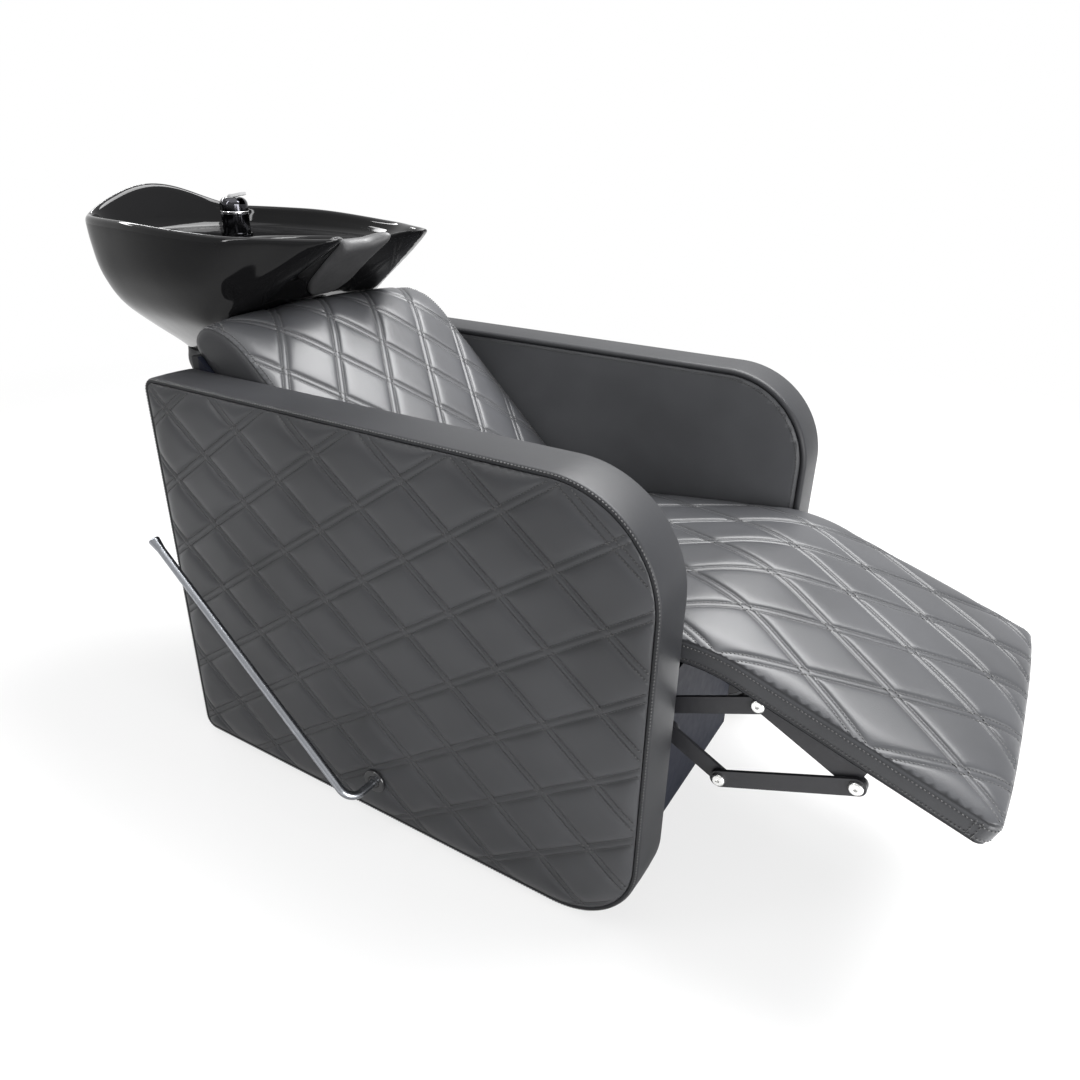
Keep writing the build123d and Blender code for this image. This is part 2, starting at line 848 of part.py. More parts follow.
def lever_grommet():
    """The glossy ring where the shaft leaves the quilting."""
    ring = disc(lever_pivot, grommet_radius) - disc(lever_pivot, lever_rod_radius + bush_wall + running_gap)
    part = side_plate(ring, -panel_outer - grommet_height, grommet_height)
    return fillet(part.faces().sort_by(Axis.X)[0].edges(), grommet_height * 0.6)


def shaft_bush():
    """The bush that the shaft turns in, from the grommet through the panel and the side board."""
    ring = disc(lever_pivot, lever_rod_radius + bush_wall) - disc(lever_pivot, lever_rod_radius + running_gap)
    return side_plate(ring, -panel_outer - grommet_height, panel_outer + grommet_height - board_inner)


# Basin

def basin_section(level, grow):
    """One level plan of the basin's form, grown outwards by grow.

    From the middle of the front the line runs to the ridge below a horn, round the widest place and
    the rear corner to the middle of the back, and the same way back on the other side.
    """
    width = basin_half_width * half_width_shares[level]
    notch = notch_ahead - basin_foot_ahead
    front = notch * front_shares[level]
    ridge = (basin_half_width * ridge_side_shares[level], notch * ridge_shares[level])
    widest = (basin_widest_ahead - basin_foot_ahead) * back_shares[level]
    corner = (basin_corner_ahead - basin_foot_ahead) * back_shares[level]
    end = (basin_back_ahead - basin_foot_ahead) * back_shares[level]
    corner_side = basin_corner_side * half_width_shares[level]
    flare = (width - ridge[0], widest - ridge[1])
    half = [
        (0, front),
        (ridge[0] * 0.55, front + (ridge[1] - front) * 0.35),
        ridge,
        (ridge[0] + flare[0] * 0.41, ridge[1] + flare[1] * 0.21),
        (ridge[0] + flare[0] * 0.78, ridge[1] + flare[1] * 0.48),
        (width, widest),
        (width * 0.96, (widest + corner) * 0.5),
        (corner_side, corner),
        (corner_side * 0.5, corner * 0.14 + end * 0.86),
        (0, end),
    ]
    ring = half + [(-across, ahead) for across, ahead in reversed(half[1:-1])]
    points = []
    for index, (across, ahead) in enumerate(ring):
        before = ring[index - 1]
        after = ring[(index + 1) % len(ring)]
        run = (after[0] - before[0], after[1] - before[1])
        length = math.hypot(*run)
        place = (across - run[1] / length * grow, ahead + run[0] / length * grow)
        points.append((place[0], y_at(basin_foot_ahead + place[1])))
    return make_face(Spline(*points, periodic=True))


def basin_hull(grow):
    """The solid form of the basin up to above its rim, grown outwards by grow."""
    rise = basin_mould_height - basin_foot_height
    sections = []
    for level, share in enumerate(level_shares):
        sections.append(Pos(0, 0, basin_foot_height + rise * share) * basin_section(level, grow))
    return loft(sections)


def rim_space(grow):
    """Everything below the rim line: level sides, slightly higher at the back, with a crest there."""
    front = y_at(horn_ahead * 2)
    back = y_at(basin_back_ahead * 1.5)
    line = Spline(
        (front, rim_front_height + grow),
        (y_at(0), rim_front_height + (rim_back_height - rim_front_height) * 0.2 + grow),
        (y_at(basin_back_ahead / 2), rim_back_height + grow),
        (back, rim_back_height + grow),
        tangents=((1, 0), (1, 0)),
    )
    low = basin_foot_height - waste_tail_drop
    edge = Polyline((back, rim_back_height + grow), (back, low), (front, low), (front, rim_front_height + grow))
    width = basin_half_width * 3
    below = side_plate(make_face([line, edge]), -width / 2, width)
    swell = Spline(
        (-crest_half_width, rim_back_height + grow),
        (0, crest_height + grow),
        (crest_half_width, rim_back_height + grow),
        tangents=((1, 0), (1, 0)),
    )
    foot = Polyline(
        (crest_half_width, rim_back_height + grow),
        (crest_half_width, tray_height),
        (-crest_half_width, tray_height),
        (-crest_half_width, rim_back_height + grow),
    )
    start = y_at((basin_corner_ahead - rim_width) * 0.86)
    crest = lengthwise_plate(make_face([swell, foot]), start, back - start)
    dip = Pos(0, y_at(notch_ahead), basin_level_height + grow + neck_dip_radius) * Rot(90, 0, 0) * Cylinder(
        neck_dip_radius, notch_ahead
    )
    return below + crest - dip


def tray_space():
    """The shallow upper hollow of the basin, inside the rim."""
    low = basin_section(tray_level, -rim_width - tray_draft)
    high = basin_section(len(level_shares) - 1, -rim_width)
    return loft([Pos(0, 0, tray_height) * low, Pos(0, 0, basin_mould_height) * high])


def bowl_space():
    """The bowl below the tray, which leads down to the waste."""
    top = Pos(0, y_at(bowl_ahead), tray_height + cut_overrun) * Ellipse(bowl_half_width, bowl_half_length)
    waist_height = (tray_height * 0.4 + bowl_floor_height * 0.6)
    waist = Pos(0, y_at(bowl_ahead * 0.4 + bowl_floor_ahead * 0.6), waist_height) * Ellipse(
        (bowl_half_width * 2 + bowl_floor_half_width) / 3, (bowl_half_length + bowl_floor_half_length) / 2
    )
    floor = Pos(0, y_at(bowl_floor_ahead), bowl_floor_height) * Ellipse(
        bowl_floor_half_width, bowl_floor_half_length
    )
    return loft([floor, waist, top])


def waste_nut_top():
    """The height where the nut of the waste meets the boss under the bowl."""
    return basin_foot_height - waste_tail_drop + waste_outlet_length + waste_nut_height


def waste_boss():
    """The round boss under the bowl that gives the nut of the waste a level seat."""
    height = bowl_floor_height - waste_nut_top()
    place = Pos(0, y_at(bowl_floor_ahead), waste_nut_top() + height / 2)
    return place * Cylinder(waste_boss_radius, height)


def basin():
    """The ceramic basin: a deep hull with a rolled rim, a tap deck, a bowl and a neck notch."""
    body = (basin_hull(0) & rim_space(0)) + waste_boss()
    body -= tray_space()
    body -= bowl_space()
    height = bowl_floor_height - basin_foot_height
    bore = Pos(0, y_at(bowl_floor_ahead), bowl_floor_height - height / 2) * Cylinder(
        waste_radius, height + cut_overrun * 2
    )
    body -= bore
    rim = [edge for edge in body.edges() if edge.center().Z > tray_height + rim_radius * 1.5]
    return fillet(rim, rim_radius)


def pad_outline():
    """The front view of the neck pad as a plan: broad over the rim and rounded below."""
    top = y_at(pad_top_ahead)
    low = y_at(pad_bottom_ahead)
    shoulder = y_at(notch_ahead * 0.62)
    points = [(-pad_half_width, top), (pad_half_width, top), (pad_half_width, shoulder)]
    points += [(pad_tip_half_width, low), (-pad_tip_half_width, low), (-pad_half_width, shoulder)]
    outline = Polygon(*points, align=None)
    lower = outline.vertices().group_by(Axis.Y)[-1]
    outline = fillet(lower, pad_tip_half_width * 0.7)
    side_corners = [vertex for vertex in outline.vertices() if abs(vertex.Y - shoulder) < soft_gap]
    return fillet(side_corners, pad_half_width / 3)


def neck_pad():
    """The rubber saddle that hangs over the notch and down the front of the basin."""
    shell = basin_hull(pad_thickness + soft_gap) & rim_space(pad_thickness + soft_gap)
    shell -= basin_hull(soft_gap) & rim_space(soft_gap)
    height = crest_height - basin_foot_height
    inside = basin_section(tray_level, -rim_width)
    shell -= upright_plate(inside, basin_foot_height, height)
    return shell & upright_plate(pad_outline(), basin_foot_height, height)


# Mixer tap

def mixer_axis(height):
    """The place of the tap's axis at a height."""
    return Pos(mixer_side, y_at(mixer_ahead), height)


def mixer_body():
    """The lower body of the tap with its foot on the deck."""
    foot = mixer_axis(tray_height + mixer_foot_height / 2) * Cylinder(mixer_foot_radius, mixer_foot_height)
    body = mixer_axis(tray_height + mixer_foot_height + mixer_body_height / 2) * Cylinder(
        mixer_radius, mixer_body_height
    )
    return foot + body


def mixer_cap_base():
    """The height of the underside of the tap's turning cap."""
    return tray_height + mixer_foot_height + mixer_body_height + mixer_ring_height


def mixer_ring():
    """The bright ring between the body and the cap."""
    low = mixer_cap_base() - mixer_ring_height
    ring = mixer_axis(low + mixer_ring_height / 2) * Cylinder(mixer_radius, mixer_ring_height)
    return fillet(ring.edges(), mixer_ring_height / 4)


def mixer_cap():
    """The cap that turns to set the temperature, slotted for the handle."""
    low = mixer_cap_base() + running_gap
    cap = mixer_axis(low + mixer_cap_height / 2) * Cylinder(mixer_radius, mixer_cap_height)
    cap = fillet(cap.faces().sort_by(Axis.Z)[-1].edges(), mixer_dome_height)
    slot = mixer_axis(low + mixer_cap_height) * Box(
        mixer_lever_width + soft_gap * 2, mixer_radius * 2 + cut_overrun, mixer_cap_height
    )
    return cap - slot


def mixer_handle():
    """The small paddle that lifts to open the water."""
    low = mixer_cap_base() + running_gap + mixer_cap_height / 2 + soft_gap
    hub = mixer_axis(low + mixer_radius / 3) * Rot(0, 90, 0) * Cylinder(mixer_radius / 3, mixer_lever_width)
    paddle = Pos(0, -mixer_lever_length / 2, 0) * Box(mixer_lever_width, mixer_lever_length, mixer_lever_thickness)
    paddle = fillet(paddle.edges().filter_by(Axis.Z), mixer_lever_width / 3)
    return hub + mixer_axis(low + mixer_radius / 3 + mixer_lever_rise / 2) * Rot(-mixer_lever_rise, 0, 0) * paddle


# Waste

def strainer():
    """The strainer in the floor of the bowl."""
    plate = Pos(0, y_at(bowl_floor_ahead), bowl_floor_height + strainer_height / 2) * Cylinder(
        strainer_radius, strainer_height
    )
    plate = fillet(plate.faces().sort_by(Axis.Z)[-1].edges(), strainer_height / 2)
    for count in range(strainer_holes):
        turn = Rot(0, 0, 360 / strainer_holes * count)
        hole = turn * Pos(strainer_ring_radius, 0, 0) * Cylinder(strainer_hole_radius, strainer_height * 2)
        plate -= Pos(0, y_at(bowl_floor_ahead), bowl_floor_height + strainer_height / 2) * hole
    return plate


def waste_tail():
    """The pipe from the strainer down out of the basin, with the nut that holds it and a free end."""
    low = basin_foot_height - waste_tail_drop
    height = bowl_floor_height - low
    outer = Cylinder(waste_radius - running_gap, height)
    inner = Cylinder(waste_radius - running_gap - waste_wall, height)
    nut = Pos(0, 0, waste_nut_top() - waste_nut_height / 2 - low - height / 2) * Cylinder(
        waste_nut_radius, waste_nut_height
    )
    return Pos(0, y_at(bowl_floor_ahead), low + height / 2) * (outer + nut - inner)


# Stand and tilt joint

def stand_profile():
    """The side view of the stand: a waist that sweeps back under the basin."""
    back = base_back_ahead - rear_panel_thickness - soft_gap
    waist = back - stand_depth
    top = stand_top_height
    foot = stand_foot_height
    lip = top - stand_lip
    flare = ThreePointArc(
        side(waist, stand_waist_height),
        side(waist - (stand_top_reach - stand_depth) * 0.33, stand_waist_height * 0.4 + lip * 0.6),
        side(back - stand_top_reach, lip),
    )
    rest = Polyline(
        side(back - stand_top_reach, lip),
        side(back - stand_top_reach, top),
        side(back, top),
        side(back, foot),
        side(waist, foot),
        side(waist, stand_waist_height),
    )
    return make_face([flare, rest])


def waste_duct():
    """The upright space in the stand, below the waste, that the hose runs down."""
    height = stand_top_height + cut_overrun * 2
    place = Pos(0, y_at(bowl_floor_ahead), stand_top_height / 2)
    return place * Cylinder(waste_duct_radius, height)


def stand_cover():
    """The padded leather cover of the stand."""
    cover = side_plate(stand_profile(), -stand_width / 2, stand_width)
    rear = base_back_ahead - rear_panel_thickness - stand_depth
    edges = [edge for edge in cover.edges() if abs(edge.center().X) > stand_width / 2 - soft_gap]
    edges = [edge for edge in edges if edge.center().Y > y_at(rear) - soft_gap]
    edges = [edge for edge in edges if edge.center().Z < stand_top_height - soft_gap]
    return fillet(edges, stand_corner_radius) - waste_duct()


def stand_foot():
    """The floor plate of the stand, which reaches back under the basin."""
    back = base_back_ahead - rear_panel_thickness - soft_gap
    plate = Pos(0, y_at(back - stand_foot_reach / 2), stand_foot_height / 2) * Box(
        stand_foot_width, stand_foot_reach, stand_foot_height
    )
    return fillet(plate.edges().filter_by(Axis.Z), stand_corner_radius) - waste_duct()


def tilt_fork():
    """The fork on top of the stand that holds the tilt bolt."""
    place = side(tilt_ahead, tilt_height)
    inner = tilt_ear_spacing / 2
    top = stand_top_height
    ear = disc(place, tilt_ear_radius)
    width = tilt_ear_radius * 2
    height = tilt_height - top
    ear += Pos(place[0], top + height / 2) * Rectangle(width, height)
    ear -= disc(place, tilt_bolt_radius + running_gap)
    ears = both_sides(side_plate(ear, inner, tilt_ear_thickness))
    length = (inner + tilt_ear_thickness) * 2
    foot = Pos(0, place[0], top + fork_foot_thickness / 2) * Box(length, width, fork_foot_thickness)
    return ears + foot


def basin_plate():
    """The steel plate under the basin with the two ears that turn on the tilt bolt."""
    top = basin_foot_height - soft_gap
    place = side(tilt_ahead, tilt_height)
    inner = tilt_ear_spacing / 2 - tilt_ear_thickness - soft_gap
    ear = disc(place, tilt_ear_radius)
    height = top - tilt_height
    ear += Pos(place[0], tilt_height + height / 2) * Rectangle(tilt_ear_radius * 2, height)
    ear -= disc(place, tilt_bolt_radius + running_gap)
    ears = both_sides(side_plate(ear, inner, tilt_ear_thickness))
    width = (inner + tilt_ear_thickness) * 2
    middle = (tilt_ahead + basin_foot_ahead) / 2
    plate = Pos(0, y_at(middle), top - tilt_plate_thickness / 2) * Box(width, tilt_plate_length, tilt_plate_thickness)
    return plate + ears


def tilt_bolt():
    """The bolt of the tilt joint."""
    place = side(tilt_ahead, tilt_height)
    half = tilt_ear_spacing / 2 + tilt_ear_thickness
    shank = side_plate(disc(place, tilt_bolt_radius), -half, half * 2)
    heads = both_sides(side_plate(disc(place, tilt_bolt_radius * 2), half, tilt_bolt_radius))
    return shank + heads


# Writing the pieces

panel = {
    "panel_core": panel_core(),
    "panel_band": panel_band(),
    "panel_lining": panel_lining(),
    "panel_quilt": panel_quilt(),
}
shaft_room = {
    "panel_core": lever_hole(lever_rod_radius + bush_wall),
    "panel_lining": lever_hole(lever_rod_radius + bush_wall),
    "panel_quilt": lever_hole(lever_rod_radius + bush_wall),
}
pieces = {}
for name, right in panel.items():
    left = mirror(right, about=Plane.YZ)
    pieces[name + "_right"] = right
    pieces[name + "_left"] = left - shaft_room[name] if name in shaft_room else left

board = side_board()
pieces["side_board_right"] = board
pieces["side_board_left"] = mirror(board, about=Plane.YZ) - lever_hole(lever_rod_radius + bush_wall)
for name, right in (
    ("hinge_arm", hinge_arm()),
    ("drive_link", drive_link()),
    ("coupler", coupler()),
    ("legrest_bracket", legrest_bracket()),
):
    pieces[name + "_right"] = right
    pieces[name + "_left"] = mirror(right, about=Plane.YZ)

pieces["floor_glides"] = floor_glides()
pieces["front_cross_rail"] = cross_rail(base_front_ahead - front_post_depth / 2, front_post_depth)
pieces["rear_cross_rail"] = cross_rail(rear_rail_ahead, rail_width)
pieces["centre_rail"] = centre_rail()
pieces["front_board"] = front_board()
pieces["front_posts"] = front_posts()
pieces["rear_panel"] = rear_panel()
pieces["seat_deck"] = seat_deck()
pieces["seat_cushion"] = seat_cushion()
pieces["backrest_cushion"] = backrest_cushion()
pieces["backrest_board"] = backrest_board()
pieces["legrest_board"] = legrest_board()
pieces["legrest_cushion"] = legrest_cushion()
pieces["torque_tube"] = torque_tube()
pieces["frame_pivot_bolts"] = frame_pivot_bolts()
pieces["link_pivot_bolts"] = both_sides(linkage_bolt(link_pivot))
pieces["bracket_pivot_bolts"] = both_sides(linkage_bolt(bracket_pivot))
pieces["frame_washers"] = both_sides(pivot_washer(frame_pivot) + pivot_washer(main_pivot))
pieces["link_washers"] = both_sides(pivot_washer(link_pivot))
pieces["bracket_washers"] = both_sides(pivot_washer(bracket_pivot))
pieces["arm_bolts"] = arm_bolts()
pieces["lever_rod"] = lever_rod()
pieces["lever_knob"] = lever_knob()
pieces["crank_arm"] = crank_arm()
pieces["crank_pin"] = rod_pin(crank_pivot)
pieces["rod_link_pin"] = rod_pin(rod_pivot)
pieces["push_rod"] = push_rod()
pieces["lever_grommet"] = lever_grommet()
pieces["shaft_bush"] = shaft_bush()
pieces["basin"] = basin()
pieces["neck_pad"] = neck_pad()
pieces["mixer_body"] = mixer_body()
pieces["mixer_ring"] = mixer_ring()
pieces["mixer_cap"] = mixer_cap()
pieces["mixer_handle"] = mixer_handle()
pieces["strainer"] = strainer()
pieces["waste_tail"] = waste_tail()
pieces["stand_cover"] = stand_cover()
pieces["stand_foot"] = stand_foot()
pieces["tilt_fork"] = tilt_fork()
pieces["basin_plate"] = basin_plate()
pieces["tilt_bolt"] = tilt_bolt()

for name, piece in pieces.items():
    export_step(piece, os.path.join("parts", name + ".step"))
print(len(pieces), "pieces written")
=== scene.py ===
# %% [markdown]
# # A salon washing bed
# A person lies back on a quilted seat between two padded arm panels. The neck rests in the notch of a
# black ceramic basin, and a bent lever on the left panel folds the leg rest. The fixed frame gives
# every moving body and every hard part. This script dresses that frame: it upholsters the bed, glazes
# the basin and gives each part its finish.

# %% The frame and its box
import json
import math

import bmesh
import bpy
import numpy as np
from mathutils import Matrix, Vector


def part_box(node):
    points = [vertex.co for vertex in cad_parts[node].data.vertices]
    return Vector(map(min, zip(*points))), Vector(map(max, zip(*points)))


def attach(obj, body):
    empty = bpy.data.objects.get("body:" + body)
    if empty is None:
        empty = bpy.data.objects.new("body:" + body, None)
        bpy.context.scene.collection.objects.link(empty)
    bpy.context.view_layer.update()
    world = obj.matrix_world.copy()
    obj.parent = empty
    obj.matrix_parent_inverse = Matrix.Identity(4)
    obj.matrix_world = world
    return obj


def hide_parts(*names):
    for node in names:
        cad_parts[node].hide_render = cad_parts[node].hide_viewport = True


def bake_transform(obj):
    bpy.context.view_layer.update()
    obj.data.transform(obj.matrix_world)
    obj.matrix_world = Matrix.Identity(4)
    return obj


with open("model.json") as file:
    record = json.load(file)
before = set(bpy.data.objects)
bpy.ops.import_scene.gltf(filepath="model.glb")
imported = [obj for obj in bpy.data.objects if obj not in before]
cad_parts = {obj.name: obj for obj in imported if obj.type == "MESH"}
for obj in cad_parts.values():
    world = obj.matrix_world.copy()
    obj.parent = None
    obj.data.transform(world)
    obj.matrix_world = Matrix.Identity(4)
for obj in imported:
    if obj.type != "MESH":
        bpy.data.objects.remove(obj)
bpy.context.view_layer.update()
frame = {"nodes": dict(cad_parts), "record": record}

# %% [markdown]
# Lengths along the bed are easiest to say as places ahead of the back edge of the arm panels, towards
# the feet. The frame's own Y runs the other way from the middle of the panels, so one small function
# turns the one into the other.

# %% Places along the bed
core_low, core_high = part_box("panel_core_left")
panel_length = 0.913
panel_top = 0.694
panel_foot = 0.006


def y_at(ahead):
    """The frame's Y of a place measured ahead of the panels' back edge."""
    return panel_length / 2 - ahead


def in_frame(points):
    """Places in the frame from places (across, ahead, height)."""
    return np.column_stack([points[:, 0], y_at(points[:, 1]), points[:, 2]])


def linked(name, data):
    """A new object in the scene that holds a mesh, a lamp or a camera."""
    item = bpy.data.objects.new(name, data)
    bpy.context.scene.collection.objects.link(item)
    return item


print("panel core from", np.round(core_low, 3), "to", np.round(core_high, 3))

# %% [markdown]
# ## The camera
# The photograph was taken from the left front corner, a little above the basin's rim, with a lens of
# about 28 mm on full frame. The camera is placed first, because every later choice of detail is
# judged from there. Its three axes are made square to each other before they are used.

# %% The camera
camera_place = Vector((-1.13, -0.7615, 1.04))
camera_forward = Vector((0.773, 0.465, -0.431)).normalized()
camera_right = camera_forward.cross(Vector((-0.359, -0.240, -0.902))).normalized() * -1
camera_up = camera_right.cross(camera_forward)
camera_data = bpy.data.cameras.new("photo_view")
camera_data.sensor_width = 36
camera_data.lens = 27.7
camera = linked("photo_view", camera_data)
turn = Matrix((camera_right, camera_up, -camera_forward)).transposed()
camera.matrix_world = Matrix.Translation(camera_place) @ turn.to_4x4()
bpy.context.scene.camera = camera
print("camera axes", [tuple(round(value, 3) for value in axis) for axis in (camera_right, camera_up)])

# %% [markdown]
# ## A way to write node trees
# A shader is a web of nodes, and written out link by link it can't be read. Here one function adds a
# node from its type, settings and inputs, to any tree. One small class wraps the output of a shader
# node, so that ordinary sums on it add Math nodes, and another class owns a material.

# %% Nodes and sums on shader values
class Value:
    """One value in a shader; Python's operators on it add Math nodes."""

    def __init__(self, finish, socket):
        self.finish = finish
        self.socket = socket

    def math(self, operation, first, second):
        return self.finish.get("ShaderNodeMath", 0, {"operation": operation}, {0: first, 1: second})

    def __add__(self, other):
        return self.math("ADD", self, other)

    def __radd__(self, other):
        return self.math("ADD", other, self)

    def __sub__(self, other):
        return self.math("SUBTRACT", self, other)

    def __mul__(self, other):
        return self.math("MULTIPLY", self, other)


def socket_at(sockets, key):
    """A socket by its number, or the one with that name that is in use."""
    if isinstance(key, int):
        return sockets[key]
    return next(socket for socket in sockets if socket.name == key and socket.enabled)


def join(tree, value, socket):
    """Links an output to a socket, or sets the socket to a plain value."""
    if isinstance(value, Value):
        value = value.socket
    if isinstance(value, bpy.types.NodeSocket):
        tree.links.new(value, socket)
    elif isinstance(value, tuple) and len(value) == 3 and socket.type == "RGBA":
        socket.default_value = (*value, 1.0)
    else:
        socket.default_value = value


def add_node(tree, kind, settings=None, inputs=None):
    """A node of a kind, with its settings first and then values or links into its inputs."""
    node = tree.nodes.new(kind)
    for name, value in (settings or {}).items():
        setattr(node, name, value)
    for key, value in (inputs or {}).items():
        join(tree, value, socket_at(node.inputs, key))
    return node


# %% One material under construction
class Finish:
    """A material with one Principled shader, and a way to add and join nodes."""

    def __init__(self, name, roughness=0.5, metallic=0.0, **fixed):
        self.material = bpy.data.materials.new(name)
        self.material.use_nodes = True
        self.tree = self.material.node_tree
        self.shader = self.tree.nodes["Principled BSDF"]
        self.shader.inputs["Roughness"].default_value = roughness
        self.shader.inputs["Metallic"].default_value = metallic
        for socket, value in fixed.items():
            self.shader.inputs[socket.replace("_", " ")].default_value = value
        self.place = self.get("ShaderNodeTexCoord", "Object")

    def get(self, kind, output, settings=None, inputs=None):
        """One output of a new node, by its name or number."""
        node = add_node(self.tree, kind, settings, inputs)
        return Value(self, socket_at(node.outputs, output))

    def feed(self, socket, value):
        """Joins a value to the Principled shader."""
        join(self.tree, value, socket_at(self.shader.inputs, socket))

    def noise(self, scale, detail=2.0, roughness=0.5, place=None):
        inputs = {"Vector": place or self.place, "Scale": scale, "Detail": detail, "Roughness": roughness}
        return self.get("ShaderNodeTexNoise", "Fac", {}, inputs)

    def cells(self, scale, feature="F1"):
        inputs = {"Vector": self.place, "Scale": scale}
        return self.get("ShaderNodeTexVoronoi", "Distance", {"feature": feature}, inputs)

    def range(self, value, low, high, out_low, out_high):
        inputs = {"Value": value, "From Min": low, "From Max": high, "To Min": out_low, "To Max": out_high}
        return self.get("ShaderNodeMapRange", "Result", {}, inputs)

    def blend(self, share, first, second):
        """A colour between two colours."""
        inputs = {"Factor": share, "A": first, "B": second}
        return self.get("ShaderNodeMix", "Result", {"data_type": "RGBA"}, inputs)

    def stretched(self, scale):
        """The object's own coordinates, stretched by a scale for each axis."""
        return self.get("ShaderNodeMapping", "Vector", {}, {"Vector": self.place, "Scale": scale})

    def bump(self, height, distance, strength):
        inputs = {"Height": height, "Distance": distance, "Strength": strength}
        return self.get("ShaderNodeBump", "Normal", {}, inputs)


# %% [markdown]
# ## Leather
# The cover is a semi-matt synthetic leather in charcoal. Up close it has a fine pebbled grain, a little
# over a millimetre across, with tiny creases between the pebbles. Voronoi cells give the pebbles and
# noise breaks them up. The colour drifts softly over a hand's width, and handling has polished some
# places, so the roughness drifts too. The quilted faces and the plain strips are cut from the same hide.

# %% Leather finishes
def leather(name, colour, gloss_drift=0.05, roughness=0.38, shine=0.20):
    """A grained leather of a base colour."""
    finish = Finish(name, roughness, Specular_IOR_Level=shine, Coat_Weight=0.04, Coat_Roughness=0.36)
    wobble = finish.noise(140.0, 3.0)
    pebbles = finish.cells(760.0)
    creases = finish.cells(760.0, "DISTANCE_TO_EDGE")
    fine = finish.noise(2600.0, 2.0)
    drift = finish.noise(5.0, 3.0)
    hand = finish.noise(14.0, 4.0, 0.6)
    dark = tuple(value * 0.86 for value in colour)
    light = tuple(value * 1.13 for value in colour)
    soft = finish.blend(finish.range(drift, 0.35, 0.65, 0.0, 1.0), dark, light)
    # The creases between the pebbles are darkened by up to a fifth: painted shade in the creases.
    painted_crease_shade = finish.range(creases, 0.0, 0.10, 0.82, 1.0)
    painted_crease_shade_grey = finish.get("ShaderNodeCombineColor", "Color", {}, {"Red": painted_crease_shade, "Green": painted_crease_shade, "Blue": painted_crease_shade})
    shaded = finish.get(
        "ShaderNodeMix", "Result", {"data_type": "RGBA", "blend_type": "MULTIPLY"},
        {"Factor": 1.0, "A": soft, "B": painted_crease_shade_grey},
    )
    finish.feed("Base Color", shaded)
    rough = roughness + (hand - 0.5) * gloss_drift * 2 + (fine - 0.5) * 0.08
    finish.feed("Roughness", rough)
    grain = pebbles * -0.6 + fine * 0.25 + wobble * 0.5
    finish.feed("Normal", finish.bump(grain, 0.00022, 0.55))
    return finish.material


charcoal_leather = leather("charcoal_leather", (0.028, 0.0287, 0.031))
# The plain leather is the same hide as the charcoal, darkened to under half its colour: painted shade on the
# strips, the stand and the collar.
plain_leather_painted_shade = leather("plain_leather_painted_shade", (0.012, 0.0124, 0.0138), 0.04, 0.48, 0.14)
# The lining is the same charcoal leather, lightened by about half: painted light on the panels' inner faces.
lining_leather_painted_light = leather("lining_leather_painted_light", (0.044, 0.045, 0.048), 0.04, 0.48, 0.16)
print("leather nodes:", len(charcoal_leather.node_tree.nodes))

# %% [markdown]
# ## Thread
# The seams are sewn with a thick, dark polyester thread. Each stitch is only a few millimetres long, so
# it needs no more than a twist of light and dark along its length and a dull shine.

# %% Thread finish
thread = Finish("seam_thread", 0.55, Sheen_Weight=0.2)
twist = thread.noise(1800.0, 1.0)
thread.feed("Base Color", thread.blend(twist, (0.003, 0.003, 0.003), (0.010, 0.010, 0.011)))
thread.feed("Roughness", thread.range(twist, 0.2, 0.8, 0.45, 0.65))
seam_thread = thread.material

# %% [markdown]
# ## Black glaze
# The basin is cast ceramic under a black glaze. Glaze is a glass, so it reflects sharply, but it never
# lies quite flat: it ripples slowly over the hand-finished clay and gathers a few specks. The ripple is
# a very low bump, which bends the reflections as in the photograph.

# %% Glaze finish
glaze = Finish("black_glaze", 0.05, Specular_IOR_Level=0.13)
ripple = glaze.noise(9.0, 2.0, 0.4)
specks = glaze.cells(420.0)
speck_share = glaze.range(specks, 0.03, 0.06, 1.0, 0.0)
glaze.feed("Base Color", glaze.blend(speck_share * 0.3, (0.0042, 0.0042, 0.0045), (0.02, 0.02, 0.02)))
glaze.feed("Roughness", glaze.range(glaze.noise(30.0, 4.0), 0.3, 0.7, 0.035, 0.075))
glaze.feed("Normal", glaze.bump(ripple, 0.004, 0.35))
black_glaze = glaze.material

# %% [markdown]
# ## Rubber, metals, plastics and boards
# The neck pad is moulded grey rubber with a faint skin texture. The bars under the leg rest are powder
# coated, which leaves an orange-peel surface. Bolts and lever are plated steel: the lever is a darker
# satin chrome with fine lengthwise wear. The boards under the seat are painted dark.

# %% Rubber finish
rubber = Finish("grey_rubber", 0.5, Specular_IOR_Level=0.3)
cloud = rubber.noise(24.0, 4.0)
rubber.feed("Base Color", rubber.blend(cloud, (0.024, 0.024, 0.025), (0.042, 0.042, 0.043)))
rubber.feed("Roughness", rubber.range(rubber.noise(60.0, 3.0), 0.3, 0.7, 0.42, 0.58))
rubber.feed("Normal", rubber.bump(rubber.noise(900.0, 2.0), 0.0002, 0.4))
grey_rubber = rubber.material


# %% Coated, plated and moulded finishes
def coated(name, colour, roughness, peel_scale=420.0, peel=0.00025, shine=0.5):
    """Paint or powder coat: one colour with an orange-peel surface and worn, lighter patches."""
    finish = Finish(name, roughness, Specular_IOR_Level=shine)
    wear = finish.range(finish.noise(38.0, 5.0, 0.65), 0.60, 0.72, 0.0, 1.0)
    light = tuple(min(1.0, value * 1.7 + 0.004) for value in colour)
    finish.feed("Base Color", finish.blend(wear * 0.5, colour, light))
    finish.feed("Roughness", roughness + (finish.noise(70.0, 3.0) - 0.5) * 0.16)
    finish.feed("Normal", finish.bump(finish.noise(peel_scale, 2.0), peel, 0.5))
    return finish.material


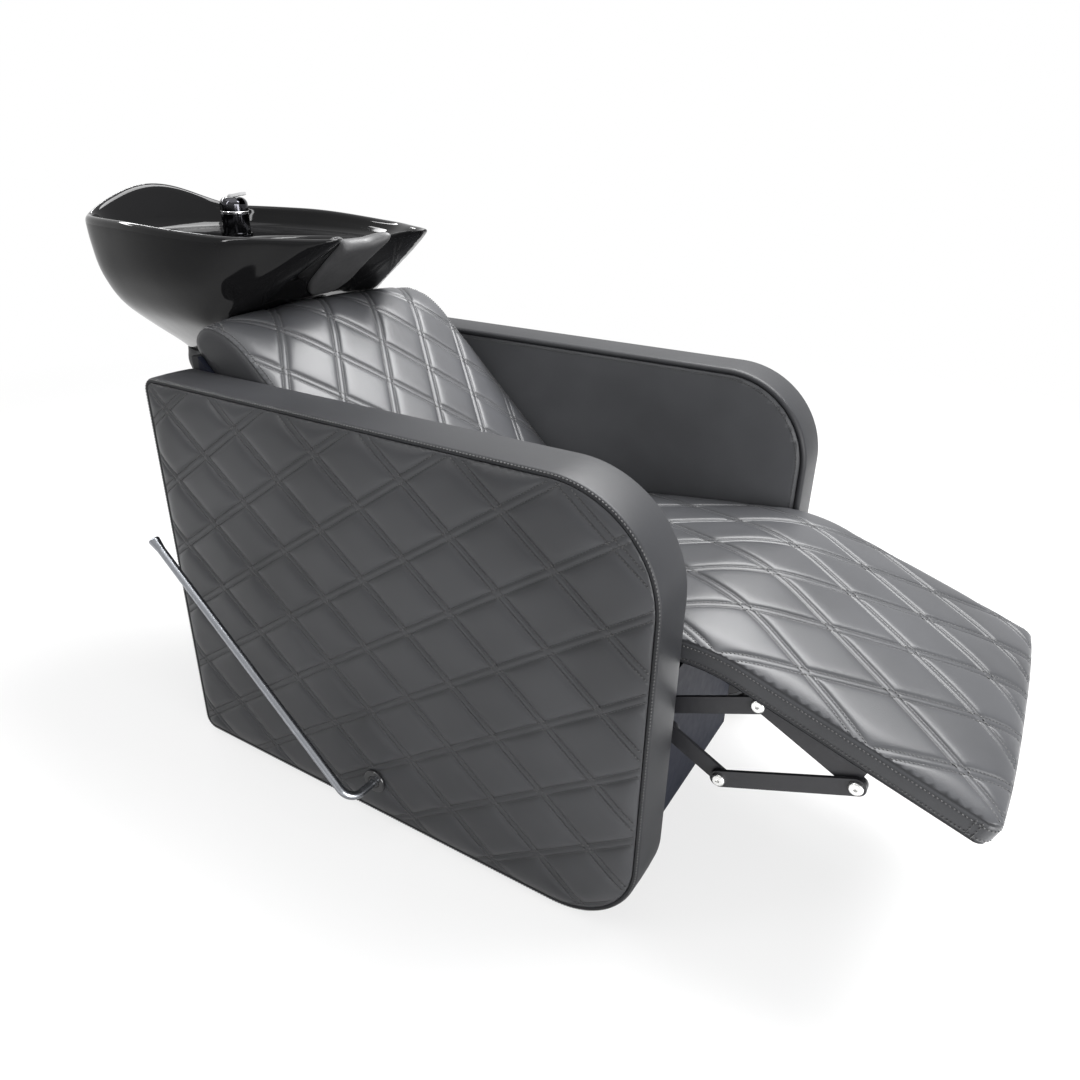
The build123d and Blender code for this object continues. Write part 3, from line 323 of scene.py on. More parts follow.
def plated(name, colour, roughness, grain=(60.0, 60.0, 900.0), marks=0.10):
    """Plated metal with fine marks that run one way."""
    finish = Finish(name, roughness, metallic=1.0)
    lines = finish.noise(1.0, 3.0, 0.6, finish.stretched(grain))
    smear = finish.noise(26.0, 4.0, 0.6)
    dark = tuple(value * 0.82 for value in colour)
    finish.feed("Base Color", finish.blend(smear, dark, colour))
    finish.feed("Roughness", roughness + (lines - 0.5) * marks + (smear - 0.5) * marks)
    finish.feed("Normal", finish.bump(lines, 0.00004, 0.3))
    return finish.material


black_steel = coated("black_powder_coat", (0.012, 0.012, 0.014), 0.45, shine=0.35)
cover_board = coated("dark_board", (0.006, 0.007, 0.012), 0.62, 300.0, shine=0.10)
glide_plastic = coated("glide_plastic", (0.018, 0.018, 0.019), 0.55)
gloss_plastic = coated("gloss_plastic", (0.012, 0.012, 0.013), 0.14, 60.0, 0.0001)
bright_steel = plated("bright_steel", (0.66, 0.66, 0.65), 0.26)
satin_chrome = plated("satin_chrome", (0.26, 0.27, 0.29), 0.26, (300.0, 300.0, 40.0))
bright_chrome = plated("bright_chrome", (0.80, 0.80, 0.81), 0.07, marks=0.05)
black_chrome = plated("black_chrome", (0.045, 0.045, 0.05), 0.08, marks=0.05)


# %% [markdown]
# Plywood hides inside the cushions and shows only along raw edges from below. Its layers and grain come
# from noise stretched along the board.

# %% Plywood finish
ply = Finish("plywood", 0.62)
grain_lines = ply.noise(1.0, 4.0, 0.6, ply.stretched((9.0, 160.0, 160.0)))
ply.feed("Base Color", ply.blend(grain_lines, (0.36, 0.24, 0.13), (0.60, 0.44, 0.27)))
ply.feed("Roughness", ply.range(grain_lines, 0.3, 0.7, 0.55, 0.7))
ply.feed("Normal", ply.bump(grain_lines, 0.0004, 0.4))
plywood = ply.material

# %% [markdown]
# ## From arrays to pieces
# Most pieces here are worked out as arrays of points and then made a mesh. A few functions do that for
# all of them. They merge points that coincide and turn the faces outwards, because a mirrored or swept
# shape may come out inside out.

# %% Making a mesh piece
def grid_quads(numbers):
    """The quads between neighbours in a table of point numbers."""
    corners = numbers[:-1, :-1], numbers[1:, :-1], numbers[1:, 1:], numbers[:-1, 1:]
    return np.stack(corners, -1).reshape(-1, 4)


def ring_quads(numbers):
    """The quads between closed rings of point numbers, one ring to a row."""
    return grid_quads(np.column_stack([numbers, numbers[:, :1]])).tolist()


def finished(name, mesh, material, merge=None):
    """An object from a mesh, smooth, with its faces turned outwards."""
    shape = bmesh.new()
    shape.from_mesh(mesh)
    if merge:
        bmesh.ops.remove_doubles(shape, verts=shape.verts, dist=merge)
    bmesh.ops.recalc_face_normals(shape, faces=shape.faces)
    shape.to_mesh(mesh)
    shape.free()
    mesh.materials.append(material)
    mesh.polygons.foreach_set("use_smooth", np.ones(len(mesh.polygons), bool))
    mesh.update()
    print(name, "faces:", len(mesh.polygons))
    return linked(name, mesh)


def piece_from(name, points, faces, material):
    """A smooth mesh object from points and faces."""
    mesh = bpy.data.meshes.new(name)
    mesh.from_pydata([tuple(point) for point in points], [], [tuple(face) for face in faces])
    return finished(name, mesh, material, 0.00002)


def mirrored(item, name):
    """A copy of a piece, mirrored to the other side of the bed."""
    mesh = item.data.copy()
    mesh.transform(Matrix.Scale(-1, 4, Vector((1, 0, 0))))
    mesh.flip_normals()
    mesh.name = name
    return linked(name, mesh)


# %% [markdown]
# ## Outlines
# Every padded face is cut to an outline with round corners, and every seam, strip and row of stitches
# runs along such an outline. So an outline is kept as a list of places with the direction that points
# out of it at each place: an inset line is then just each place moved back along its direction.

# %% Outlines with round corners
arc_step = 0.006
smallest_arc = 0.004
straight_step = 0.02


def rounded_outline(corners):
    """Places and outward directions round a shape, from corners (x, y, radius) in order anticlockwise."""
    places, outward = [], []
    count = len(corners)
    arcs = []
    for index, (x, y, radius) in enumerate(corners):
        before = np.array(corners[index - 1][:2]) - (x, y)
        after = np.array(corners[(index + 1) % count][:2]) - (x, y)
        before = before / np.linalg.norm(before)
        after = after / np.linalg.norm(after)
        half = math.acos(np.clip(before @ after, -1, 1)) / 2
        inward = (before + after) / np.linalg.norm(before + after)
        centre = np.array((x, y)) + inward * radius / math.sin(half)
        first = -np.array((before[1], -before[0]))
        first = first if first @ inward < 0 else -first
        last = np.array((after[1], -after[0]))
        last = last if last @ inward < 0 else -last
        start = math.atan2(first[1], first[0])
        sweep = (math.atan2(last[1], last[0]) - start + math.pi) % (2 * math.pi) - math.pi
        pieces = max(3, int(abs(sweep) * max(radius, smallest_arc) / arc_step))
        angles = start + sweep * np.arange(pieces + 1) / pieces
        spokes = np.stack([np.cos(angles), np.sin(angles)], 1)
        arcs.append((centre + spokes * radius, spokes))
    for index, (arc, spokes) in enumerate(arcs):
        places.append(arc)
        outward.append(spokes)
        following = arcs[(index + 1) % count][0][0]
        gap = following - arc[-1]
        parts = int(np.linalg.norm(gap) / straight_step)
        for part in range(1, parts):
            places.append((arc[-1] + gap * part / parts)[None])
            outward.append(spokes[-1:])
    return np.concatenate(places), np.concatenate(outward)


def outward_of(places):
    """The outward directions of a closed line of places."""
    tangent = np.roll(places, -1, 0) - np.roll(places, 1, 0)
    outward = np.column_stack([tangent[:, 1], -tangent[:, 0]])
    outward /= np.linalg.norm(outward, axis=1)[:, None]
    area = (places[:, 0] * np.roll(places[:, 1], -1) - np.roll(places[:, 0], -1) * places[:, 1]).sum()
    return outward if area > 0 else -outward


def lengths_along(line):
    """The length run at each place of an open line."""
    return np.concatenate([[0], np.cumsum(np.linalg.norm(np.diff(line, axis=0), axis=1))])


def inset_outline(outline, inset):
    """The outline moved inwards."""
    return outline[0] - outline[1] * inset, outline[1]


def depth_inside(points, outline):
    """How far points lie inside a convex outline."""
    places, outward = outline
    depth = np.full(len(points), np.inf)
    for place, direction in zip(places, outward):
        depth = np.minimum(depth, (place - points) @ direction)
    return depth


panel_corners = [
    (-panel_length / 2, panel_foot, 0.135),
    (panel_length / 2, panel_foot, 0.024),
    (panel_length / 2, panel_top, 0.024),
    (-panel_length / 2, panel_top, 0.160),
]
panel_edge = rounded_outline(panel_corners)
print("panel outline:", len(panel_edge[0]), "places")

# %% [markdown]
# ## Quilting
# The quilting is a lattice of diamonds. Each line of it is a narrow band between two rows of stitches,
# about eleven millimetres wide, and the foam swells up between the bands. The mesh is laid out on the
# same lattice, with rows of points on both edges of every band, so the sharp dip at a stitch row needs no
# fine mesh elsewhere. The flat lattice is first cut to its outline, then raised. The cut takes its faces
# in a fixed order, so that every run gives the same mesh.

# %% A lattice of quilting
rows_by_stitches = np.array([-0.0012, 0, 0.0013, 0.0030, 0.0055])
first_wide_row = 0.009
cloth_step = 0.0065
cloth_margin = 0.012


class Lattice:
    """Diamonds between two families of double stitch rows, in flat cloth measured in metres."""

    def __init__(self, start, first, second, band):
        self.start = np.array(start)
        self.sides = np.array([first, second])
        area = abs(np.cross(self.sides[0], self.sides[1]))
        lengths = np.linalg.norm(self.sides, axis=1)
        self.spacing = np.array([area / lengths[1], area / lengths[0]])
        self.band = band

    def places(self, counts):
        """Flat places from lattice counts."""
        return self.start + counts @ self.sides

    def counts(self, places):
        """Lattice counts of flat places."""
        return (places - self.start) @ np.linalg.inv(self.sides)

    def distances(self, places):
        """The distance of flat places to the nearest line of each family."""
        counts = self.counts(places)
        return np.abs(counts - np.round(counts)) * self.spacing

    def rows(self, family, low, high):
        """The counts of the mesh rows of one family: close by the stitches and wider apart between."""
        spacing = self.spacing[family]
        middle = np.arange(self.band + first_wide_row, spacing / 2, cloth_step)
        half = np.concatenate([[0], self.band + rows_by_stitches, middle]) / spacing
        cell = np.unique(np.concatenate([half, 1 - half[1:], [0.5]]).round(5))
        return np.concatenate([cell + count for count in range(low, high)] + [[high]])

    def mesh(self, corner_low, corner_high):
        """A flat mesh that covers a box of cloth, on the lattice's own rows."""
        x = (corner_low[0], corner_high[0])
        y = (corner_low[1], corner_high[1])
        reach = self.counts(np.array([(a, b) for a in x for b in y]))
        low = np.floor(reach.min(0)).astype(int)
        high = np.ceil(reach.max(0)).astype(int)
        first = self.rows(0, low[0], high[0])
        second = self.rows(1, low[1], high[1])
        grid = np.stack(np.meshgrid(first, second, indexing="ij"), -1).reshape(-1, 2)
        faces = grid_quads(np.arange(len(grid)).reshape(len(first), len(second)))
        places = self.places(grid)
        middle = places[faces].mean(1)
        above = middle > np.array(corner_low) - cloth_margin
        below = middle < np.array(corner_high) + cloth_margin
        return places, faces[np.all(above & below, 1)]


def plain_mesh(corner_low, corner_high, spacing):
    """A flat mesh of squares that covers a box of cloth."""
    x = np.arange(corner_low[0] - spacing, corner_high[0] + spacing * 2, spacing)
    y = np.arange(corner_low[1] - spacing, corner_high[1] + spacing * 2, spacing)
    grid = np.stack(np.meshgrid(x, y, indexing="ij"), -1).reshape(-1, 2)
    return grid, grid_quads(np.arange(len(grid)).reshape(len(x), len(y)))


# %% Cutting flat cloth to its outline
on_line = 1e-6
merge_cloth = 0.0004


def cut_to(places, faces, outline):
    """A bmesh of the flat cloth inside a convex outline."""
    used, renumbered = np.unique(faces, return_inverse=True)
    flat = bpy.data.meshes.new("flat")
    points = np.column_stack([places[used], np.zeros(len(used))])
    flat.from_pydata(points.tolist(), [], renumbered.reshape(faces.shape).tolist())
    shape = bmesh.new()
    shape.from_mesh(flat)
    bpy.data.meshes.remove(flat)
    for place, direction in zip(*outline):
        at, out = Vector((*place, 0)), Vector((*direction, 0))
        outside = [vertex for vertex in shape.verts if (vertex.co - at).dot(out) > -on_line]
        near = dict.fromkeys(face for vertex in outside for face in vertex.link_faces)
        if not near:
            continue
        edges = dict.fromkeys(edge for face in near for edge in face.edges)
        verts = dict.fromkeys(vertex for face in near for vertex in face.verts)
        bmesh.ops.bisect_plane(
            shape, geom=[*near, *edges, *verts], dist=on_line, plane_co=at, plane_no=out, clear_outer=True
        )
    bmesh.ops.remove_doubles(shape, verts=shape.verts, dist=merge_cloth)
    return shape


# %% [markdown]
# ## Raising the cloth
# A quilted face gets its height from three distances: to each family of stitch bands, and to the seam
# round its border. The foam rises steeply beside a stitch row and then levels off, as an exponential
# does. A narrow dip marks each row. The closed pad gets walls down from its seam, drawn in and out by a
# short list of steps, and a back.

# %% Height of the quilted face
seam_reach = 0.009
band_puff = 0.0016
dip_width = 0.0013
dip_depth = 0.0009


def rise(distance, reach):
    """How far foam has risen at a distance from a seam, from 0 to 1."""
    return 1 - np.exp(-np.maximum(distance, 0) / reach)


def quilted_height(places, lattice, border, swell, reach, drop, drop_reach):
    """The height of quilted cloth at flat places; border is each place's depth inside the seam."""
    distances = lattice.distances(places)
    beyond = distances - lattice.band
    edge = rise(border, seam_reach)
    foam = swell * rise(beyond[:, 0], reach) * rise(beyond[:, 1], reach) * edge
    on_band = np.minimum(np.abs(distances) / lattice.band, 1)
    puffs = band_puff * (1 - on_band ** 2)
    band = np.where(beyond[:, 0] < 0, puffs[:, 0], np.where(beyond[:, 1] < 0, puffs[:, 1], 0)) * edge
    stitch = np.exp(-((beyond / dip_width) ** 2)).max(1)
    fall = np.clip(1 - border / drop_reach, 0, 1) ** 2
    return foam + band - dip_depth * stitch * edge - drop * fall


# %% A closed pad from cut cloth
def add_walls(shape, outline, walls, loop):
    """Draws walls down from a loop of edges, and returns the last loop."""
    places, outward = outline
    for outwards, level in walls:
        made = bmesh.ops.extrude_edge_only(shape, edges=loop)
        loop = [item for item in made["geom"] if isinstance(item, bmesh.types.BMEdge)]
        for vertex in {vertex for edge in loop for vertex in edge.verts}:
            at = np.array(vertex.co[:2])
            nearest = np.argmin(((places - at) ** 2).sum(1))
            on_seam = at - outward[nearest] * ((at - places[nearest]) @ outward[nearest])
            vertex.co = (*(on_seam + outward[nearest] * outwards), level)
    return loop


def pad_from(name, cloth, outline, height, walls, place, material, flat_back=True):
    """Cuts and raises cloth, gives it walls and a back, and puts it in place.

    walls is a list of steps (outwards, height) down from the seam. place turns flat places and heights
    into points of the frame.
    """
    shape = cut_to(*cloth, outline)
    shape.verts.ensure_lookup_table()
    flat = np.array([vertex.co[:2] for vertex in shape.verts])
    for vertex, value in zip(shape.verts, height(flat, depth_inside(flat, outline))):
        vertex.co.z = value
    rim = [edge for edge in shape.edges if edge.is_boundary]
    if flat_back:
        bmesh.ops.holes_fill(shape, edges=add_walls(shape, outline, walls, rim), sides=0)
    else:
        copy = bmesh.ops.duplicate(shape, geom=list(shape.faces))
        back_verts = [item for item in copy["geom"] if isinstance(item, bmesh.types.BMVert)]
        add_walls(shape, outline, walls, rim)
        for vertex in back_verts:
            vertex.co.z = walls[-1][1]
        bmesh.ops.remove_doubles(shape, verts=shape.verts, dist=merge_cloth)
    bmesh.ops.recalc_face_normals(shape, faces=shape.faces)
    mesh = bpy.data.meshes.new(name)
    shape.to_mesh(mesh)
    shape.free()
    points = np.zeros(len(mesh.vertices) * 3)
    mesh.vertices.foreach_get("co", points)
    mesh.vertices.foreach_set("co", place(points.reshape(-1, 3)).ravel())
    return finished(name, mesh, material)


def quilted_pad(name, lattice, outline, height, walls, place, flat_back=False):
    """A closed leather pad quilted on a lattice."""
    cloth = lattice.mesh(outline[0].min(0), outline[0].max(0))
    return pad_from(name, cloth, outline, height, walls, place, charcoal_leather, flat_back)


# %% [markdown]
# ## The quilted faces of the arm panels
# The outer face of each panel is one quilted pad over foam. It stops at a seam under a centimetre
# in from the edge, where the plain strip that wraps the edge is sewn to it. The face stands proud in the
# middle and falls away to that seam. The diamonds lean forwards, so their two families of rows climb and
# fall at different slopes, which were measured on the photograph.

# %% Quilted panel faces
band_half = 0.0053
panel_quilting = Lattice((y_at(0.052), 0.649), (-0.081, 0.057), (-0.078, -0.062), band_half)
strip_width = 0.0085
outer_face = 0.350
face_sunk = 0.0025
face_drop = 0.0029
face_seam = inset_outline(panel_edge, strip_width)
face_walls = [(-0.0005, -face_drop - 0.002), (-0.001, -0.013)]


def on_panel_face(points):
    """Puts flat cloth on the outer face of the left panel, with its height pointing outwards."""
    return np.column_stack([-(outer_face - face_sunk + points[:, 2]), points[:, 0], points[:, 1]])


def panel_face_height(places, border):
    foam = {"swell": 0.0054, "reach": 0.0066, "drop": face_drop, "drop_reach": 0.035}
    return quilted_height(places, panel_quilting, border, **foam) + 0.0004


panel_face_left = quilted_pad(
    "panel_face_left", panel_quilting, face_seam, panel_face_height, face_walls, on_panel_face, True
)
panel_face_right = mirrored(panel_face_left, "panel_face_right")

# %% [markdown]
# ## The strips round the panels
# One plain strip of leather wraps the whole edge of a panel. It starts in the seam of the quilted face,
# turns over the soft outer edge, crosses the thickness of the panel with a slight swell, turns over the
# inner edge and ends in the seam of the lining. Such a strip is a sweep: one cross-section carried round
# the outline. Its hidden side closes the shape.

# %% Edge strips
def swept_round(name, outline, section, material):
    """Carries a closed cross-section, a list of (side x, inset), round an outline of the side view."""
    section = np.array(section)
    places, outward = outline
    rings = places[:, None, :] - outward[:, None, :] * section[None, :, 1:2]
    across = np.broadcast_to(section[None, :, 0], rings.shape[:2])
    points = np.stack([across, rings[..., 0], rings[..., 1]], -1).reshape(-1, 3)
    numbers = np.arange(len(points)).reshape(len(places), len(section))
    return piece_from(name, points, ring_quads(np.concatenate([numbers, numbers[:1]])), material)


def soft_corner(centre_x, centre_inset, radius, start, end, count=7):
    """Points of a quarter turn in the cross-section of a strip."""
    angles = np.radians(np.linspace(start, end, count))
    return [(centre_x + math.cos(a) * radius, centre_inset - math.sin(a) * radius) for a in angles]


inner_face = 0.260
lining_inset = 0.012
outer_radius, inner_radius = 0.005, 0.008
outer_x = -(outer_face - 0.0045)
inner_x = -(inner_face + 0.0005)
middle_x = (outer_x + inner_x) / 2
back_inset = 0.0098
strip_section = [
    (outer_x + 0.0105, strip_width + 0.0005), (outer_x + 0.0034, strip_width + 0.0003),
    (outer_x + 0.0015, strip_width - 0.0005), (outer_x + 0.0005, strip_width - 0.0016),
    *soft_corner(outer_x + outer_radius, outer_radius + 0.0008, outer_radius, 180, 90),
    (outer_x + 0.024, 0.0003), (middle_x - 0.012, 0.0), (middle_x + 0.012, 0.0), (inner_x - 0.022, 0.0003),
    *soft_corner(inner_x - inner_radius, inner_radius + 0.0008, inner_radius, 90, 0),
    (inner_x - 0.0012, lining_inset - 0.0015), (inner_x - 0.0035, lining_inset),
    (inner_x - 0.0105, lining_inset + 0.0005), (inner_x - 0.011, back_inset), (outer_x + 0.011, back_inset),
]
panel_strip_left = swept_round("panel_strip_left", panel_edge, strip_section, plain_leather_painted_shade)
panel_strip_right = mirrored(panel_strip_left, "panel_strip_right")

# %% [markdown]
# ## The linings
# The inner face of a panel is plain. Thin foam under it gives it a slow swell, and the leather pulls a
# little at its seam. A coarse flat mesh is enough for this, cut to its outline and raised as the
# quilting is.

# %% Panel linings
lining_seam = inset_outline(panel_edge, lining_inset)


def lining_height(places, border):
    waves = np.sin(places[:, 0] * 21 + places[:, 1] * 9) * np.sin(places[:, 1] * 17 - places[:, 0] * 6)
    return 0.0026 * rise(border, 0.02) - 0.002 + 0.0003 * waves


def on_lining(points):
    """Puts flat cloth on the inner face of the left panel, with its height towards the seat."""
    return np.column_stack([-(inner_face - points[:, 2]), points[:, 0], points[:, 1]])


lining_cloth = plain_mesh(lining_seam[0].min(0), lining_seam[0].max(0), 0.012)
panel_inner_left = pad_from(
    "panel_inner_left", lining_cloth, lining_seam, lining_height, [(0, -0.009)], on_lining, lining_leather_painted_light
)
panel_inner_right = mirrored(panel_inner_left, "panel_inner_right")

# %% [markdown]
# ## The seat and the leg rest
# Seat and leg rest are one quilted cover over two boards, so they are one piece here too. The cloth is
# laid out flat, as wide as the cushion and as long as its curved middle line. A function then carries
# each flat place to the frame: along the seat's slope, round the soft bend and down the leg rest, with a
# crown across the width.

# %% The middle line of the seat
bend_ahead = 0.940
bend_height = 0.472
seat_slope = math.radians(6.84)
leg_slope = math.radians(18.37)
cushion_half = 0.2525
seat_crown = 0.021
leg_end = (1.310 - bend_ahead) / math.cos(leg_slope)
seat_start = -(bend_ahead - 0.478) / math.cos(seat_slope)
bend_reach = 0.06
front_reach = 0.11
front_crown_share = 0.3
corner_pull = 0.006
crowned_above = -0.006


def side_line(along):
    """Side-view places (ahead, height) and slopes of the seam line, from lengths ahead of the bend."""
    slope = np.where(along < 0, seat_slope, -leg_slope)
    ahead = bend_ahead + along * np.cos(slope)
    height = bend_height + along * np.sin(slope)
    share = np.clip((along + bend_reach) / (2 * bend_reach), 0, 1)
    sag = bend_reach * (math.sin(seat_slope) + math.sin(leg_slope)) / 4
    inside = (along > -bend_reach) & (along < bend_reach)
    height = height - np.where(inside, sag * 4 * np.minimum(share, 1 - share) ** 2, 0)
    turning = share * share * (3 - 2 * share)
    return ahead, height, seat_slope * (1 - turning) - leg_slope * turning


def crowned(level, crown, across):
    """Levels lifted by a crown across the cushion; the walls below the seam stay where they are."""
    return level + np.where(level > crowned_above, crown * (1 - (across / cushion_half) ** 2), 0)


def on_seat(points):
    """Puts flat cloth (across, along) with heights on the seat and the leg rest."""
    across, along, level = points.T
    front = np.clip((leg_end - along) / front_reach, 0, 1)
    along = along - corner_pull * (across / cushion_half) ** 4 * (1 - front)
    ahead, height, slope = side_line(along)
    share = front_crown_share + (1 - front_crown_share) * (1 - (1 - front) ** 2)
    lift = crowned(level, seat_crown * share, across)
    return in_frame(np.column_stack([across, ahead - lift * np.sin(slope), height + lift * np.cos(slope)]))


# %% The quilted seat cover
seat_quilting = Lattice((0.012, -0.0915), (0.054, 0.1047), (-0.054, 0.1047), band_half)
seat_seam = rounded_outline([
    (-cushion_half, seat_start, 0.006),
    (cushion_half, seat_start, 0.006),
    (cushion_half, leg_end, 0.016),
    (-cushion_half, leg_end, 0.016),
])


def seat_height(places, border):
    foam = {"swell": 0.0033, "reach": 0.0036, "drop": 0.004, "drop_reach": 0.03}
    return quilted_height(places, seat_quilting, border, **foam) + 0.0026


boxing_walls = [
    (-0.0018, -0.0020), (0.0010, -0.0036), (0.0024, -0.0085), (0.0029, -0.0140), (0.0029, -0.0200),
    (0.0023, -0.0260), (0.0010, -0.0305), (-0.0018, -0.0322), (-0.0002, -0.0338), (-0.0040, -0.0350),
]
seat_cover = quilted_pad("seat_cover", seat_quilting, seat_seam, seat_height, boxing_walls, on_seat)

# %% [markdown]
# ## The backrest
# The backrest is a thick cushion that leans back between the panels and rolls over at the top, under the
# basin. Its quilted front is one pad. Its sides are plain and puffed out, between double seams. In side
# view the front is a straight line that runs into a quarter of an ellipse, and the back edge is round.

# %% The side line of the backrest
back_slope = math.radians(43.4)
back_top = (0.154, 0.716)
back_crown = 0.018
roll_reach, roll_drop = 0.113, 0.060
back_thickness = 0.088
back_length = 0.430
roll_steps = np.linspace(0, math.pi / 2, 40)
roll_line = np.column_stack([np.sin(roll_steps) * roll_reach, (np.cos(roll_steps) - 1) * roll_drop])
roll_lengths = lengths_along(roll_line)
roll_length = roll_lengths[-1]
flat_top = 0.06
print("roll length", round(roll_length, 4))


def on_back_plane(up, out):
    """Side-view places from lengths up the backrest's front and out from it."""
    ahead = back_top[0] - up * math.cos(back_slope) + out * math.sin(back_slope)
    height = back_top[1] + up * math.sin(back_slope) + out * math.cos(back_slope)
    return ahead, height


def on_backrest(points):
    """Puts flat cloth (across, up) with heights on the backrest's front and over its roll."""
    across, up, level = points.T
    over = np.clip(up, 0, roll_length)
    along = np.where(up < 0, up, np.interp(over, roll_lengths, roll_line[:, 0]))
    down = np.where(up < 0, 0, np.interp(over, roll_lengths, roll_line[:, 1]))
    angle = np.where(up < 0, 0, np.interp(over, roll_lengths, roll_steps))
    tilt = np.arctan2(np.sin(angle) * roll_drop, np.cos(angle) * roll_reach)
    share = 1 - np.clip((over - flat_top) / (roll_length - flat_top), 0, 1) ** 2
    lift = crowned(level, back_crown * share, across)
    ahead, height = on_back_plane(along + lift * np.sin(tilt), down + lift * np.cos(tilt))
    return in_frame(np.column_stack([across, ahead, height]))


# %% The quilted front of the backrest
back_quilting = Lattice((0.012, -0.031), (0.0645, -0.0745), (-0.0475, -0.0745), band_half)
back_seam = rounded_outline([
    (-cushion_half, -back_length, 0.004),
    (cushion_half, -back_length, 0.004),
    (cushion_half, roll_length, 0.020),
    (-cushion_half, roll_length, 0.020),
])


def back_height(places, border):
    foam = {"swell": 0.0035, "reach": 0.0040, "drop": 0.003, "drop_reach": 0.025}
    return quilted_height(places, back_quilting, border, **foam) + 0.0018


back_walls = [(-0.0006, -0.0028), (-0.0015, -0.0055), (-0.006, -0.010)]
back_front = quilted_pad("backrest_front", back_quilting, back_seam, back_height, back_walls, on_backrest)

# %% [markdown]
# The rest of the backrest is a block of foam with puffed ends. It is built as rings of its side outline:
# the ring is full size from one side to the other, and at each end a few smaller rings stand further
# out, so the ends swell. The same way of building serves the stand later.

# %% A block with puffed ends
def puffed_block(name, outline, half, ends, material):
    """A block across the bed from its side outline; ends is a list of (beyond the half width, inset)."""
    places, outward = outline
    steps = [(-half - beyond, inset) for beyond, inset in reversed(ends)]
    steps += [(-half, 0), (-half * 0.5, 0), (0, 0), (half * 0.5, 0), (half, 0)]
    steps += [(half + beyond, inset) for beyond, inset in ends]
    rings = np.concatenate([places - outward * inset for x, inset in steps])
    across = np.repeat([x for x, inset in steps], len(places))
    points = in_frame(np.column_stack([across, rings]))
    numbers = np.arange(len(points)).reshape(len(steps), len(places))
    quads = ring_quads(numbers) + [numbers[0].tolist(), numbers[-1][::-1].tolist()]
    return piece_from(name, points, quads, material)


back_radius = 0.022
block_inset = 0.0012


def back_outline():
    """The side outline of the backrest behind its quilted front."""
    straight = np.linspace(-back_length, 0, 22)
    angles = np.linspace(0, math.pi / 2, 8)
    round_up = roll_reach - back_radius + np.cos(angles) * back_radius
    round_out = -back_thickness + back_radius - np.sin(angles) * back_radius
    up = np.concatenate([straight, roll_line[1:, 0], round_up, [-back_length + 0.002]])
    out = np.concatenate([np.zeros(22), roll_line[1:, 1], round_out, [-back_thickness]])
    places = np.column_stack(on_back_plane(up, out))
    places = places[np.linalg.norm(places - np.roll(places, 1, 0), axis=1) > 0.0005]
    return places, outward_of(places)


back_side = inset_outline(back_outline(), block_inset)
back_puff = [(0.0004, 0.0020), (0.0014, 0.0036), (0.0026, 0.0066), (0.0036, 0.0105), (0.0042, 0.0150)]
back_half = cushion_half - block_inset
back_block = puffed_block("backrest_sides", back_side, back_half, back_puff, charcoal_leather)

# %% [markdown]
# ## Stitches
# Thousands of stitches are far too many to place by hand, and they only repeat along a line. So Geometry
# Nodes sew them. A piece of wire along each row of stitches becomes a curve, the curve is divided at the
# stitch length, and a short thread is laid at each point along the curve's direction. The thread is a
# small spindle with few faces, because it is repeated so often.

# %% The sewing machine: a node tree
def sewing_tree():
    """A Geometry Nodes tree that lays stitches along the edges of a mesh."""
    tree = bpy.data.node_groups.new("sewing", "GeometryNodeTree")
    face = tree.interface
    face.new_socket("Geometry", in_out="INPUT", socket_type="NodeSocketGeometry")
    for name, value in (("Pitch", 0.0051), ("Stitch length", 0.0032), ("Thread radius", 0.00100)):
        socket = face.new_socket(name, in_out="INPUT", socket_type="NodeSocketFloat")
        socket.default_value = value
    face.new_socket("Finish", in_out="INPUT", socket_type="NodeSocketMaterial")
    face.new_socket("Geometry", in_out="OUTPUT", socket_type="NodeSocketGeometry")

    def output(kind, settings, inputs):
        return add_node(tree, kind, settings, inputs).outputs[0]

    given = tree.nodes.new("NodeGroupInput").outputs
    radius = given["Thread radius"]
    line = output("GeometryNodeMeshToCurve", {}, {"Mesh": given["Geometry"]})
    pitch = {"Curve": line, "Length": given["Pitch"]}
    divided = output("GeometryNodeResampleCurve", {"mode": "LENGTH"}, pitch)
    tangent = output("GeometryNodeInputTangent", {}, {})
    aim = output("FunctionNodeAlignRotationToVector", {"axis": "Z"}, {"Vector": tangent})
    spindle = output("GeometryNodeMeshUVSphere", {}, {"Segments": 5, "Rings": 4, "Radius": 1.0})
    half = output("ShaderNodeMath", {"operation": "MULTIPLY"}, {0: given["Stitch length"], 1: 0.5})
    size = output("ShaderNodeCombineXYZ", {}, {"X": radius, "Y": radius, "Z": half})
    thread_shape = output("GeometryNodeTransform", {}, {"Geometry": spindle, "Scale": size})
    laid = output(
        "GeometryNodeInstanceOnPoints", {}, {"Points": divided, "Instance": thread_shape, "Rotation": aim}
    )
    real = output("GeometryNodeRealizeInstances", {}, {"Geometry": laid})
    smooth = output("GeometryNodeSetShadeSmooth", {}, {"Geometry": real})
    sewn_rows = output("GeometryNodeSetMaterial", {}, {"Geometry": smooth, "Material": given["Finish"]})
    add_node(tree, "NodeGroupOutput", {}, {"Geometry": sewn_rows})
    return tree


sewing = sewing_tree()
print("sewing nodes:", len(sewing.nodes))


